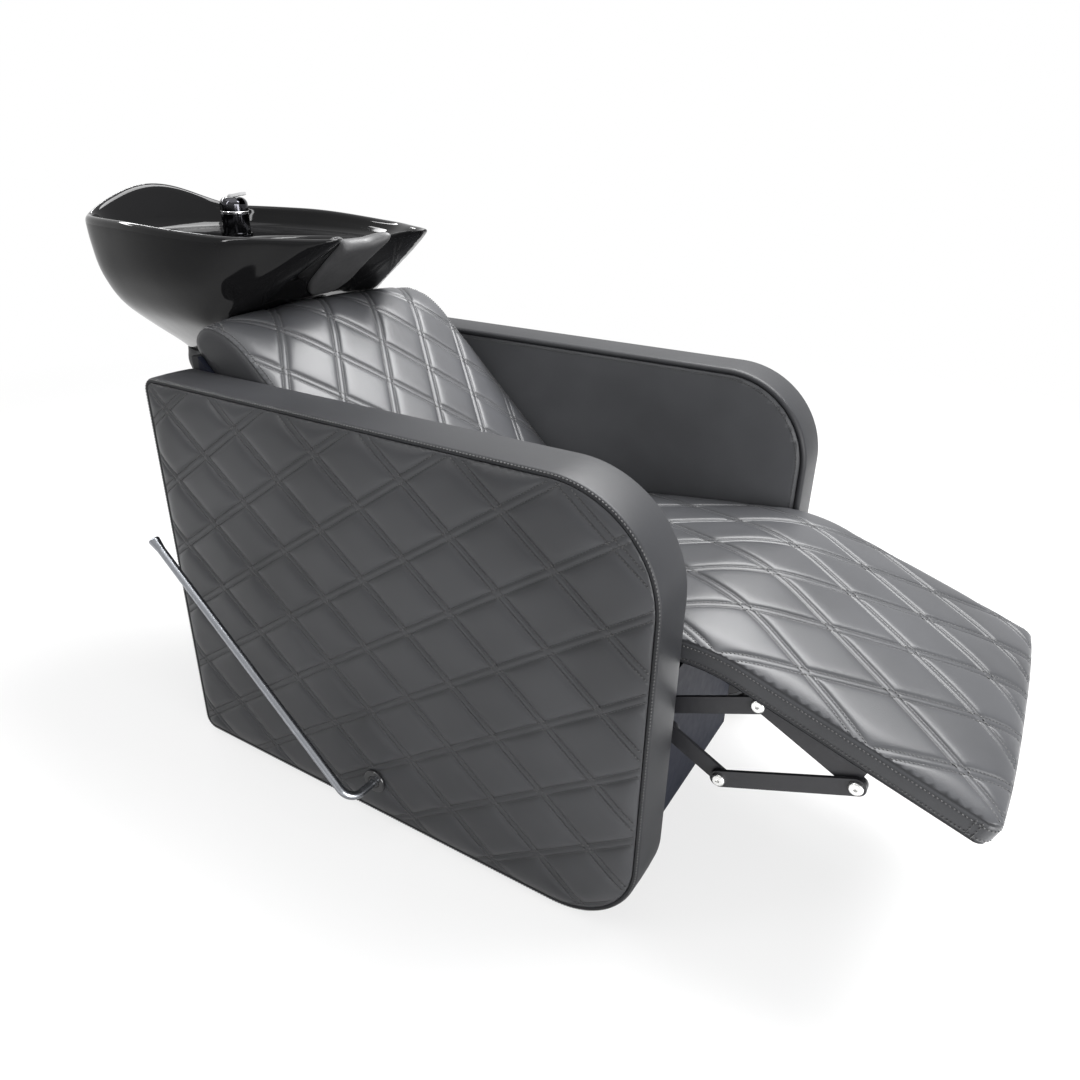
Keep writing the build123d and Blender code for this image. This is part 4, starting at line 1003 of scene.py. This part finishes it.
# %% Sewing along lines
def sewn(name, lines):
    """Stitches along a list of open lines, each an array of places, as one plain mesh."""
    wire = bpy.data.meshes.new(name + "_wire")
    edges, first = [], 0
    for line in lines:
        edges += [(first + step, first + step + 1) for step in range(len(line) - 1)]
        first += len(line)
    wire.from_pydata(np.concatenate(lines).tolist(), edges, [])
    item = linked(name, wire)
    machine = item.modifiers.new("sewing", "NODES")
    machine.node_group = sewing
    for socket in sewing.interface.items_tree:
        if socket.in_out == "INPUT" and socket.name == "Finish":
            machine[socket.identifier] = seam_thread
    bpy.context.view_layer.update()
    ready = item.evaluated_get(bpy.context.evaluated_depsgraph_get())
    mesh = bpy.data.meshes.new_from_object(ready)
    mesh.name = name
    item.modifiers.remove(machine)
    item.data = mesh
    bpy.data.meshes.remove(wire)
    print(name, "rows:", len(lines), "faces:", len(mesh.polygons))
    return item


# %% [markdown]
# The rows of a quilted face follow its lattice, so they are drawn flat first: a line on each side of each
# quilting line, cut to the border, then raised and put in place by the very functions that shaped the
# leather. The thread lies in its dip, raised a little so that it still shows.

# %% Rows of stitches on quilted faces
thread_lift = 0.0005
wire_step = 0.004
seam_step = 0.006
row_margin = 0.003


def quilted_rows(lattice, outline, height, place):
    """Lines for every stitch row of a quilted face."""
    reach = lattice.counts(outline[0])
    low, high = reach.min(0), reach.max(0)
    lines = []
    for family, other in ((0, 1), (1, 0)):
        along = np.arange(low[other], high[other], wire_step / np.linalg.norm(lattice.sides[other]))
        for line in range(math.floor(low[family]), math.ceil(high[family]) + 1):
            for edge in (-1, 1):
                counts = np.zeros((len(along), 2))
                counts[:, family] = line + edge * lattice.band / lattice.spacing[family]
                counts[:, other] = along
                flat = lattice.places(counts)
                border = depth_inside(flat, outline)
                inside = border > row_margin
                if inside.sum() < 3:
                    continue
                level = height(flat[inside], border[inside]) + thread_lift
                lines.append(place(np.column_stack([flat[inside], level])))
    return lines


def border_row(outline, inset, level, place):
    """A closed line of stitches along a seam, an inset inside it, at a level."""
    flat = inset_outline(outline, inset)[0]
    flat = np.concatenate([flat, flat[:1]])
    steps = lengths_along(flat)
    even = np.linspace(0, steps[-1], max(3, int(steps[-1] / seam_step)))
    flat = np.column_stack([np.interp(even, steps, flat[:, 0]), np.interp(even, steps, flat[:, 1])])
    return place(np.column_stack([flat, np.full(len(flat), level)]))


# %% Stitches of the panels
panel_rows = quilted_rows(panel_quilting, face_seam, panel_face_height, on_panel_face)
panel_stitches_left = sewn("panel_stitches_left", panel_rows)
panel_stitches_right = mirrored(panel_stitches_left, "panel_stitches_right")


def on_strip(points):
    """Puts a line on the outer face of a strip."""
    return np.column_stack([outer_x - points[:, 2], points[:, 0], points[:, 1]])


def on_strip_inside(points):
    """Puts a line on the inner face of a strip."""
    return np.column_stack([inner_x + points[:, 2], points[:, 0], points[:, 1]])


strip_rows = [
    border_row(panel_edge, outer_radius * 0.6, -0.0006, on_strip),
    border_row(panel_edge, lining_inset + 0.0055, -0.0003, on_strip_inside),
]
strip_stitches_left = sewn("strip_stitches_left", strip_rows)
strip_stitches_right = mirrored(strip_stitches_left, "strip_stitches_right")

# %% Stitches of the seat and the leg rest
seat_rows = quilted_rows(seat_quilting, seat_seam, seat_height, on_seat)
boxing_seams = ((-0.0029, -0.0080), (-0.0027, -0.0268))
boxing_rows = [border_row(seat_seam, inset, level, on_seat) for inset, level in boxing_seams]
wall_out, wall_level = np.array(boxing_walls[:-1])[::-1].T


def corner_row(sign, back):
    """A short upright row beside the seam that closes a front corner of the boxing."""
    levels = np.linspace(-0.030, -0.006, 12)
    across = sign * (cushion_half + np.interp(levels, wall_level, wall_out) + 0.0004)
    return on_seat(np.column_stack([across, np.full(12, leg_end - back), levels]))


corner_rows = [corner_row(sign, back) for sign in (-1, 1) for back in (0.019, 0.027)]
seat_stitches = sewn("seat_stitches", seat_rows + boxing_rows + corner_rows)

# %% Stitches of the backrest
back_rows = quilted_rows(back_quilting, back_seam, back_height, on_backrest)
edge_inset = 0.0065


def back_edge_row(sign):
    """The row beside the side seam of the backrest."""
    up = np.arange(-back_length + 0.01, roll_length - 0.02, seam_step)
    flat = np.column_stack([np.full(len(up), sign * (cushion_half - edge_inset)), up])
    level = back_height(flat, depth_inside(flat, back_seam))
    return on_backrest(np.column_stack([flat, level + thread_lift]))


back_stitches = sewn("backrest_stitches", back_rows + [back_edge_row(-1), back_edge_row(1)])

# %% [markdown]
# ## The basin
# The basin is one smooth cast body, so it is built as rings of points that run round it: up the outside,
# over the rolled rim, down the inside wall, across the tap deck and into the bowl. The plan at each
# height comes from a few places on one side, joined by a smooth closed line. The rim isn't level: it
# swells up into a crest at the back and dips into a notch for the neck at the front. Each ring point
# therefore finds its own height on the rim.

# %% Plans of the basin
foot_ahead, foot_height, mould_height = -0.170, 0.625, 0.960
half_width, notch_ahead, widest_ahead = 0.228, 0.156, -0.070
corner_ahead, corner_side, end_ahead = -0.345, 0.175, -0.392
level_shares = np.array([0, 0.134, 0.254, 0.373, 0.522, 0.70, 0.85, 1])
width_shares = np.array([0.29, 0.46, 0.66, 0.84, 0.94, 0.985, 1, 1])
back_shares = np.array([0.30, 0.44, 0.64, 0.82, 0.955, 1, 1, 1])
ridge_side_shares = np.array([0.15, 0.39, 0.62, 0.78, 0.715, 0.583, 0.46, 0.333])
front_shares = np.array([0.17, 0.33, 0.466, 0.552, 0.736, 0.942, 1.125, 1.307])
ridge_shares = np.array([0.16, 0.337, 0.475, 0.561, 0.77, 1.05, 1.27, 1.497])
plan_points = 176
spline_parts = 40


def hermite(share, start, end, first, last):
    """A cubic between two values, with its slopes at both ends."""
    line = (2 * share ** 3 - 3 * share ** 2 + 1) * start + (share ** 3 - 2 * share ** 2 + share) * first
    return line + (3 * share ** 2 - 2 * share ** 3) * end + (share ** 3 - share ** 2) * last


def closed_spline(places, count):
    """A smooth closed line through places, as evenly spread points."""
    size = len(places)
    steps = np.sqrt(np.linalg.norm(np.roll(places, -1, 0) - places, axis=1))
    before = np.roll(steps, 1)
    matrix = np.zeros((size, size))
    numbers = np.arange(size)
    matrix[numbers, numbers] = 2 * (steps + before)
    matrix[numbers, (numbers + 1) % size] = before
    matrix[numbers, (numbers - 1) % size] = steps
    ahead = (np.roll(places, -1, 0) - places) / steps[:, None]
    behind = (places - np.roll(places, 1, 0)) / before[:, None]
    slopes = np.linalg.solve(matrix, 3 * (ahead * before[:, None] + behind * steps[:, None]))
    share = (np.arange(spline_parts) / spline_parts)[None, :, None]
    start, end = places[:, None], np.roll(places, -1, 0)[:, None]
    run = steps[:, None, None]
    first, last = slopes[:, None] * run, np.roll(slopes, -1, 0)[:, None] * run
    line = hermite(share, start, end, first, last).reshape(-1, 2)
    closed = np.concatenate([line, line[:1]])
    lengths = lengths_along(closed)
    even = np.linspace(0, lengths[-1], count, endpoint=False)
    return np.column_stack([np.interp(even, lengths, closed[:, 0]), np.interp(even, lengths, closed[:, 1])])


def basin_plan(share, inset):
    """The plan of the hull (across, ahead) at a share of its height, moved inwards."""
    def at(table):
        return np.interp(share, level_shares, table)

    width = half_width * at(width_shares)
    notch = notch_ahead - foot_ahead
    ridge = np.array((half_width * at(ridge_side_shares), notch * at(ridge_shares)))
    front = notch * at(front_shares)
    widest, corner, end = [
        (place - foot_ahead) * at(back_shares) for place in (widest_ahead, corner_ahead, end_ahead)
    ]
    side_at = corner_side * at(width_shares)
    flare = np.array((width, widest)) - ridge
    half = [
        (0, front),
        (ridge[0] * 0.55, front + (ridge[1] - front) * 0.35),
        tuple(ridge),
        (ridge[0] + flare[0] * 0.41, ridge[1] + flare[1] * 0.21),
        (ridge[0] + flare[0] * 0.78, ridge[1] + flare[1] * 0.48),
        (width, widest),
        (width * 0.96, (widest + corner) / 2),
        (side_at, corner),
        (side_at * 0.5, corner * 0.14 + end * 0.86),
        (0, end),
    ]
    ring = np.array(half + [(-across, ahead) for across, ahead in reversed(half[1:-1])])
    line = closed_spline(ring - outward_of(ring) * inset, plan_points)
    return line + (0, foot_ahead)


# %% Heights of the rim
def smooth_step(value, low, high):
    share = np.clip((value - low) / (high - low), 0, 1)
    return share * share * (3 - 2 * share)


side_height, side_climb = 0.8965, 0.0105
crest_height, crest_half_width, crest_power = 0.046, 0.178, 1.35
notch_depth = 0.0205


def rim_height(across, ahead):
    """The height of the rim above a place of its plan."""
    side_level = side_height + side_climb * smooth_step(-ahead, -0.10, 0.20)
    off_middle = np.clip(np.abs(across) / crest_half_width, 0, 1)
    crest = crest_height * np.cos(off_middle * math.pi / 2) ** crest_power * smooth_step(-ahead, 0.285, 0.345)
    notch = notch_depth * (1 - smooth_step(np.abs(across), 0.022, 0.098)) * smooth_step(ahead, 0.06, 0.12)
    return side_level + crest - notch


# %% [markdown]
# The tables above hold the shape at eight levels. Straight lines between them would show as faint rings
# in the glaze, so each table is first read through a smooth curve at forty-one levels. A plan is worked
# out once for each of these levels and each inset, and a ring takes every point from its own height.

# %% Smoother levels
def smooth_table(table):
    """The level table as a smooth function of height, read at the fine levels."""
    slopes = np.gradient(table, level_shares)
    index = np.clip(np.searchsorted(level_shares, fine_levels, "right") - 1, 0, len(level_shares) - 2)
    step = level_shares[index + 1] - level_shares[index]
    share = (fine_levels - level_shares[index]) / step
    return hermite(share, table[index], table[index + 1], step * slopes[index], step * slopes[index + 1])


fine_levels = np.linspace(0, 1, 41)
tables = [width_shares, back_shares, ridge_side_shares, front_shares, ridge_shares]
width_shares, back_shares, ridge_side_shares, front_shares, ridge_shares = map(smooth_table, tables)
level_shares = fine_levels
plan_tables = {}


def ring_at(inset, heights):
    """A ring of the basin at an inset, with a height for each of its points."""
    if inset not in plan_tables:
        plan_tables[inset] = np.stack([basin_plan(share, inset) for share in fine_levels])
    plans = plan_tables[inset]
    last = len(fine_levels) - 1
    place = (heights - foot_height) / (mould_height - foot_height) * last
    low = np.clip(place.astype(int), 0, last - 1)
    part = (place - low)[:, None]
    numbers = np.arange(plan_points)
    return np.column_stack([plans[low, numbers] * (1 - part) + plans[low + 1, numbers] * part, heights])


rim_top = np.full(plan_points, 0.90)
for attempt in range(6):
    rim_plan = ring_at(0.0, rim_top)
    rim_top = rim_height(rim_plan[:, 0], rim_plan[:, 1])
print("rim from", rim_top.min().round(4), "to", rim_top.max().round(4))

# %% Rings of the basin
deck_height = 0.866
rim_depth = 0.013
rim_profile = [
    (0.0004, 0.0085), (0.0016, 0.0048), (0.0036, 0.0020), (0.0062, 0.0005), (0.0085, 0.0),
    (0.0110, 0.0005), (0.0136, 0.0020), (0.0156, 0.0048), (0.0168, 0.0085), (0.0172, 0.0130),
]
rim_width = rim_profile[-1][0]
wall_lean = 0.006
deck_fillet = [(0.0250, 0.0060), (0.0272, 0.0030), (0.0312, 0.0010), (0.0370, 0.0)]
foot_edge, foot_rounding = 0.006, 0.004


def basin_rings():
    """All rings from the foot up the outside, over the rim and down to the deck's edge."""
    squeeze = np.clip((rim_top - deck_height) / 0.028, 0.3, 1)
    shoulder = rim_top - rim_depth * squeeze
    rings = [
        ring_at(foot_rounding if share == 0 else 0.0, foot_height + (shoulder - foot_height) * share)
        for share in np.concatenate([[0, foot_edge], np.linspace(0.03, 1, 30)])
    ]
    rings += [ring_at(inset, rim_top - drop * squeeze) for inset, drop in rim_profile]
    foot_of_wall = deck_height + deck_fillet[0][1]
    for share in (0.25, 0.5, 0.72, 0.86):
        rings.append(ring_at(rim_width + wall_lean * share, shoulder + (foot_of_wall - shoulder) * share))
    rings += [ring_at(inset, np.minimum(deck_height + above, shoulder)) for inset, above in deck_fillet]
    return rings


bowl_ahead, bowl_half_width, bowl_half_length = 0.002, 0.160, 0.108
lip_width = 0.006
lip_sunk = 0.0008
bowl_floor, floor_ahead = 0.752, -0.045
waste_radius = 0.022
bowl_profile = [
    (0.985, 0.985), (0.965, 0.955), (0.94, 0.90), (0.905, 0.80), (0.86, 0.66), (0.79, 0.50), (0.69, 0.34),
    (0.575, 0.20), (0.46, 0.10), (0.36, 0.045), (0.27, 0.015),
]
waste_profile = [
    (0.0330, bowl_floor), (waste_radius + 0.002, bowl_floor), (waste_radius, bowl_floor - 0.002),
    (waste_radius, bowl_floor - 0.03),
]


def level_ring(flat, level):
    """A ring at one height."""
    return np.column_stack([flat, np.full(len(flat), level)])


def bowl_rings(deck_edge):
    """Rings from the deck's edge into the bowl and down to the waste."""
    centre = np.array((0, bowl_ahead))
    away = deck_edge - centre
    angles = np.arctan2(away[:, 1] / bowl_half_length, away[:, 0] / bowl_half_width)
    spokes = np.column_stack([np.cos(angles), np.sin(angles)])
    lip = spokes * (bowl_half_width + lip_width, bowl_half_length + lip_width) + centre
    inside = np.linalg.norm(lip - centre, axis=1) < np.linalg.norm(away, axis=1) - 0.004
    lip = np.where(inside[:, None], lip, deck_edge * 0.985 + centre * 0.015)
    rings = [
        level_ring(deck_edge * (1 - share) + lip * share, deck_height - lip_sunk * share)
        for share in (0.4, 0.8, 1.0)
    ]
    for width, up in bowl_profile:
        middle = (0, bowl_ahead * up + floor_ahead * (1 - up))
        level = bowl_floor + (deck_height - lip_sunk - bowl_floor) * up
        rings.append(level_ring((lip - centre) * width + middle, level))
    return rings + [level_ring(spokes * radius + (0, floor_ahead), level) for radius, level in waste_profile]


outer_rings = basin_rings()
all_rings = np.stack(outer_rings + bowl_rings(outer_rings[-1][:, :2]))
numbers = np.arange(all_rings.size // 3).reshape(len(all_rings), plan_points)
quads = ring_quads(numbers) + [numbers[0].tolist(), numbers[-1].tolist()]
basin_body = piece_from("basin_body", in_frame(all_rings.reshape(-1, 3)), quads, black_glaze)

# %% [markdown]
# ## The neck pad
# A moulded rubber saddle hangs over the notch. It follows the basin exactly, so it is laid on the basin's
# own rings: a patch of them is chosen by width and by distance along the rim's section, and moved out by
# the rubber's thickness, which thins to nothing at the edge. It hangs down in front as a round tongue.

# %% The saddle over the notch
surface = np.stack(outer_rings)
shoulder_ring = 34
near_notch = (surface[shoulder_ring, :, 1] > 0.05) & (np.abs(surface[shoulder_ring, :, 0]) < 0.125)
front_columns = np.nonzero(near_notch)[0]
order = front_columns[np.argsort(surface[shoulder_ring, front_columns, 0])]
saddle = surface[:, order]
pad_rows = np.concatenate([np.linspace(20.5, 32, 26), np.linspace(32.4, 45.0, 26)])
pad_reach = math.pi / 2 * 0.98
pad_across = np.sin(np.linspace(-1, 1, 41) * pad_reach) / math.sin(pad_reach)
pad_skin, pad_thick, pad_ridge = 0.0005, 0.0085, 0.0035
tongue_half, tongue_round = 0.054, 0.16


def saddle_point(row, across):
    """A place on the basin at a ring number and a distance across."""
    low = int(row)
    part = row - low
    line = saddle[low] * (1 - part) + saddle[min(low + 1, len(saddle) - 1)] * part
    return np.array([np.interp(across, line[:, 0], line[:, axis]) for axis in range(3)])


def pad_half_width(share):
    """Half the pad's width from its lower tip, 0, to its upper edge, 1."""
    tongue = tongue_half * math.sqrt(max(0.0, 1 - (1 - min(1, share / tongue_round)) ** 2))
    widening = 0.010 * float(smooth_step(share, 0.10, 0.62))
    narrowing = 0.006 * float(smooth_step(share, 0.75, 1.0))
    return tongue + widening - narrowing


shares = (pad_rows - pad_rows[0]) / (pad_rows[-1] - pad_rows[0])
skin = np.array([
    [saddle_point(row, across * max(pad_half_width(share), 0.0008)) for across in pad_across]
    for row, share in zip(pad_rows, shares)
])
along = np.gradient(skin, axis=0)
side_ways = np.gradient(skin, axis=1)
normals = np.cross(side_ways, along)
normals /= np.maximum(np.linalg.norm(normals, axis=2), 1e-9)[..., None]
if normals[10, 20, 1] < 0:
    normals = -normals
lift_across = (1 - np.abs(pad_across) ** 10)[None, :] ** 0.5
lift_along = np.sqrt(np.clip(1 - np.abs(2 * shares - 1) ** 24, 0, 1))[:, None]
ridge = pad_ridge * np.exp(-(((shares - 0.86) / 0.05) ** 2))[:, None]
pad_lift = (pad_thick + ridge) * lift_across * lift_along + 0.0006
outside = skin + normals * pad_lift[..., None]
inside = skin + normals * pad_skin
points = in_frame(np.concatenate([outside.reshape(-1, 3), inside.reshape(-1, 3)]))
size = len(points) // 2
numbers = np.arange(size).reshape(skin.shape[:2])
top = grid_quads(numbers)
ring = np.concatenate([numbers[0], numbers[1:, -1], numbers[-1, -2::-1], numbers[-2:0:-1, 0]])
edge = np.stack([ring, np.roll(ring, -1), np.roll(ring, -1) + size, ring + size], -1)
faces = np.concatenate([top, top[:, ::-1] + size, edge])
neck_saddle = piece_from("neck_saddle", points, faces, grey_rubber)

# %% [markdown]
# ## The stand's cover
# Under the basin a leather cover hides the steel stand. It is the same kind of puffed block as the
# backrest's sides: the stand's side outline, with ends that swell between two seams.

# %% The stand
stand_low, stand_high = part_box("stand_cover")
stand_front = panel_length / 2 - stand_low[1]
stand_back = panel_length / 2 - stand_high[1]
print("stand from", round(stand_front, 3), "to", round(stand_back, 3), "ahead")


def line_outline(corners, radius):
    """An outline with small rounded corners from side-view places, in order, and its outward directions."""
    corners = np.array(corners)
    share = np.linspace(0, 1, 7)[:, None]
    places = []
    to_last, to_next = np.roll(corners, 1, 0) - corners, np.roll(corners, -1, 0) - corners
    for corner, before, after in zip(corners, to_last, to_next):
        back, on = np.linalg.norm(before), np.linalg.norm(after)
        cut = min(radius, back / 2.2, on / 2.2)
        start, end = corner + before / back * cut, corner + after / on * cut
        places.append((1 - share) ** 2 * start + 2 * share * (1 - share) * corner + share ** 2 * end)
    places = np.concatenate(places)
    return places, outward_of(places)


stand_foot_level = stand_low[2] + 0.002
stand_rear = stand_back + 0.004
shelf_height = 0.030
stand_side = line_outline(
    [
        (stand_front, stand_foot_level), (stand_front, stand_high[2]), (stand_rear, stand_high[2]),
        (stand_rear, stand_high[2] - shelf_height), (-0.205, 0.468), (-0.150, 0.405), (-0.1250, 0.330),
        (-0.1250, stand_foot_level),
    ],
    0.03,
)
stand_half = stand_high[0] - 0.004
stand_puff = [(0.0004, 0.0012), (0.0016, 0.0028), (0.0028, 0.0050), (0.0036, 0.0070), (0.0040, 0.0086)]
stand_block = puffed_block("stand_cushion", stand_side, stand_half, stand_puff, plain_leather_painted_shade)

# %% [markdown]
# Between the stand and the basin the leather goes on as a loose collar that hides the tilt joint. It has
# to follow the stand below and the basin above, so it is drawn as rings whose plan changes from the
# stand's to the basin's foot, with two soft folds where it gives way when the basin tilts.

# %% The collar round the tilt joint
collar_low = float(stand_high[2]) - 0.018
collar_gap = 0.0025
collar_high = 0.662 + 0.056 * smooth_step(basin_plan(0.15, 0)[:, 1], -0.20, -0.03)
collar_top = ring_at(-collar_gap, collar_high)
turns = np.arctan2(collar_top[:, 1] + 0.14, collar_top[:, 0])
spokes = np.column_stack([np.cos(turns), np.sin(turns)])
square_spokes = np.sign(spokes) * np.abs(spokes) ** 0.6
collar_foot = level_ring(square_spokes * (0.100, 0.128) - (0, 0.138), collar_low)
fold_depth = 0.0035


def collar_ring(share):
    """One ring of the collar, from the stand's top, 0, to the basin, 1."""
    ring = collar_foot * (1 - share) + collar_top * share
    wave = math.sin(share * math.pi * 3) * math.sin(share * math.pi)
    fold = fold_depth * wave * (1 + 0.3 * np.sin(turns * 5))
    ring[:, :2] += spokes * fold[:, None]
    return in_frame(ring)


def sleeve(name, rings, thickness, material):
    """A closed sleeve with a wall thickness, from rings upwards."""
    rings = np.stack(rings)
    centre = rings.mean(1, keepdims=True)
    away = np.linalg.norm(rings - centre, axis=2, keepdims=True)
    inner = centre + (rings - centre) * (1 - thickness / away)
    loop = np.concatenate([rings, inner[::-1]])
    numbers = np.arange(loop.size // 3).reshape(len(loop), -1)
    quads = ring_quads(np.concatenate([numbers, numbers[:1]]))
    return piece_from(name, loop.reshape(-1, 3), quads, material)


collar = sleeve("tilt_collar", [collar_ring(share) for share in np.linspace(0, 1, 15)], 0.003, plain_leather_painted_shade)

# %% [markdown]
# ## Finishes of the hard parts
# Every part that the frame already shapes well keeps its own mesh and only gets a finish. The record
# names a slot for each part, so one table from slot to finish covers all of them.

# %% Finishes by slot
finishes = {
    "leather_charcoal": charcoal_leather,
    "leather_plain": plain_leather_painted_shade,
    "plywood": plywood,
    "cover_board": cover_board,
    "black_steel": black_steel,
    "bright_steel": bright_steel,
    "satin_chrome": satin_chrome,
    "chrome": bright_chrome,
    "black_chrome": black_chrome,
    "black_plastic": glide_plastic,
    "gloss_plastic": gloss_plastic,
    "black_ceramic": black_glaze,
    "grey_rubber": grey_rubber,
}
for part in frame["record"]["subparts"]:
    item = frame["nodes"][part["node"]]
    item.data.materials.clear()
    item.data.materials.append(finishes[part["material_slot"]])

# %% [markdown]
# ## What each piece moves with
# The frame's joints move bodies, and a dressed piece has to move with its own body. The cover of seat and
# leg rest belongs to two bodies, but here it and its stitches move with neither: their places are only
# baked into their meshes. Each soft piece also says which plain solid it stands for.

# %% Soft pieces
soft_pieces = (
    (panel_face_left, ["panel_quilt_left"], "leather_charcoal", 0.8),
    (panel_face_right, ["panel_quilt_right"], "leather_charcoal", 0.8),
    (panel_strip_left, ["panel_band_left"], "leather_plain", 0.9),
    (panel_strip_right, ["panel_band_right"], "leather_plain", 0.9),
    (panel_inner_left, ["panel_lining_left"], "leather_charcoal", 0.9),
    (panel_inner_right, ["panel_lining_right"], "leather_charcoal", 0.9),
    (seat_cover, ["seat_cushion", "legrest_cushion"], "leather_charcoal", 0.8),
    (back_front, ["backrest_cushion"], "leather_charcoal", 0.8),
    (back_block, [], "leather_charcoal", 0.85),
    (stand_block, ["stand_cover"], "leather_plain", 0.9),
)
for item, nodes, slot, fill in soft_pieces:
    if item is not seat_cover:
        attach(item, "bed_frame")
    if nodes:
        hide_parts(*nodes)
print("soft pieces:", len(soft_pieces))

# %% Stitches and the collar
fixed_stitches = (
    panel_stitches_left, panel_stitches_right, strip_stitches_left, strip_stitches_right, back_stitches
)
for item in fixed_stitches:
    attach(item, "bed_frame")
fold_start, fold_end = (0, y_at(0.915), 0.46), (0, y_at(0.985), 0.46)
for item in (seat_cover, seat_stitches):
    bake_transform(item)
y_at(foot_ahead)
y_at(foot_ahead)
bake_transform(collar)

# %% The basin and its pad
for item, node, slot in ((basin_body, "basin", "black_ceramic"), (neck_saddle, "neck_pad", "grey_rubber")):
    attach(item, "basin")
    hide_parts(node)

# %% [markdown]
# ## Floor, light and background
# The photograph's background is white. The floor is pale and keeps the bed's shadow, and the world is
# white for what the camera, a mirror or glass sees, while it lights everything else only softly. A wide
# lamp high on the right draws the pale sheen on the seat, and one at the left front grazes the quilted
# panel, so that its seams show. A weak one overhead fills, and two narrow ones draw lines on the glaze.

# %% Floor
floor_half = 14
corners = [(x * floor_half, y * floor_half, 0) for x, y in ((-1, -1), (1, -1), (1, 1), (-1, 1))]
floor_mesh = bpy.data.meshes.new("studio_floor")
floor_mesh.from_pydata(corners, [], [(0, 1, 2, 3)])
floor = linked("studio_floor", floor_mesh)
paint = Finish("floor_paint", 0.9, Specular_IOR_Level=0.1)
paint.feed("Base Color", paint.blend(paint.noise(0.8), (0.62, 0.62, 0.62), (0.64, 0.64, 0.64)))
rays = add_node(paint.tree, "ShaderNodeLightPath").outputs
away = paint.get("ShaderNodeVectorMath", "Value", {"operation": "LENGTH"}, {0: paint.place})
larger = {"operation": "MAXIMUM"}
seen = paint.get("ShaderNodeMath", 0, larger, {0: rays["Is Camera Ray"], 1: rays["Is Transmission Ray"]})
seen_share = seen * paint.range(away, 1.3, 3.6, 0.72, 1.0)
mirrored_share = paint.range(away, 1.0, 6.0, 0.16, 0.7) * rays["Is Glossy Ray"]
share = paint.get("ShaderNodeMath", 0, larger, {0: seen_share, 1: mirrored_share})
white = {"Color": (1.0, 1.0, 1.0, 1.0), "Strength": 1.0}
glow = add_node(paint.tree, "ShaderNodeEmission", {}, white).outputs[0]
mixed = add_node(paint.tree, "ShaderNodeMixShader", {}, {0: share, 1: paint.shader.outputs[0], 2: glow})
join(paint.tree, mixed.outputs[0], paint.tree.nodes["Material Output"].inputs["Surface"])
floor_mesh.materials.append(paint.material)

# %% World
world = bpy.data.worlds.new("white_studio")
bpy.context.scene.world = world
world.use_nodes = True
sky = world.node_tree
backdrop = sky.nodes["Background"].inputs
rays = add_node(sky, "ShaderNodeLightPath").outputs
either = add_node(sky, "ShaderNodeMath", larger, {0: rays["Is Camera Ray"], 1: rays["Is Glossy Ray"]})
seen = add_node(sky, "ShaderNodeMath", larger, {0: either.outputs[0], 1: rays["Is Transmission Ray"]})
level = add_node(sky, "ShaderNodeMapRange", {}, {"Value": seen.outputs[0], "To Min": 0.30, "To Max": 1.0})
backdrop["Color"].default_value = (1, 1, 1, 1)
join(sky, level.outputs["Result"], backdrop["Strength"])


# %% Lamps
def lamp(name, place, aim, width, height, power):
    """A soft rectangular lamp that looks at a place."""
    data = bpy.data.lights.new(name, "AREA")
    data.shape = "RECTANGLE"
    data.size, data.size_y, data.energy = width, height, power
    item = linked(name, data)
    item.location = place
    item.rotation_euler = (Vector(aim) - Vector(place)).to_track_quat("-Z", "Y").to_euler()


lamp("overhead", (-0.2, 0.1, 2.8), (0, 0, 0.4), 3.0, 3.0, 50)
lamp("window_right", (1.15, -0.75, 3.1), (0, -0.4, 0.45), 3.0, 1.6, 420)
lamp("left_front", (-1.1, -3.0, 0.75), (-0.3, -0.1, 0.35), 2.4, 1.4, 170)
lamp("strip_left", (-1.7, 0.9, 2.0), (0, 0.6, 0.85), 0.12, 1.8, 18)
lamp("strip_back", (0.2, 2.4, 1.9), (0, 0.6, 0.9), 1.8, 0.12, 18)
bpy.context.scene.view_settings.view_transform = "Standard"
print("lamps:", len(bpy.data.lights))
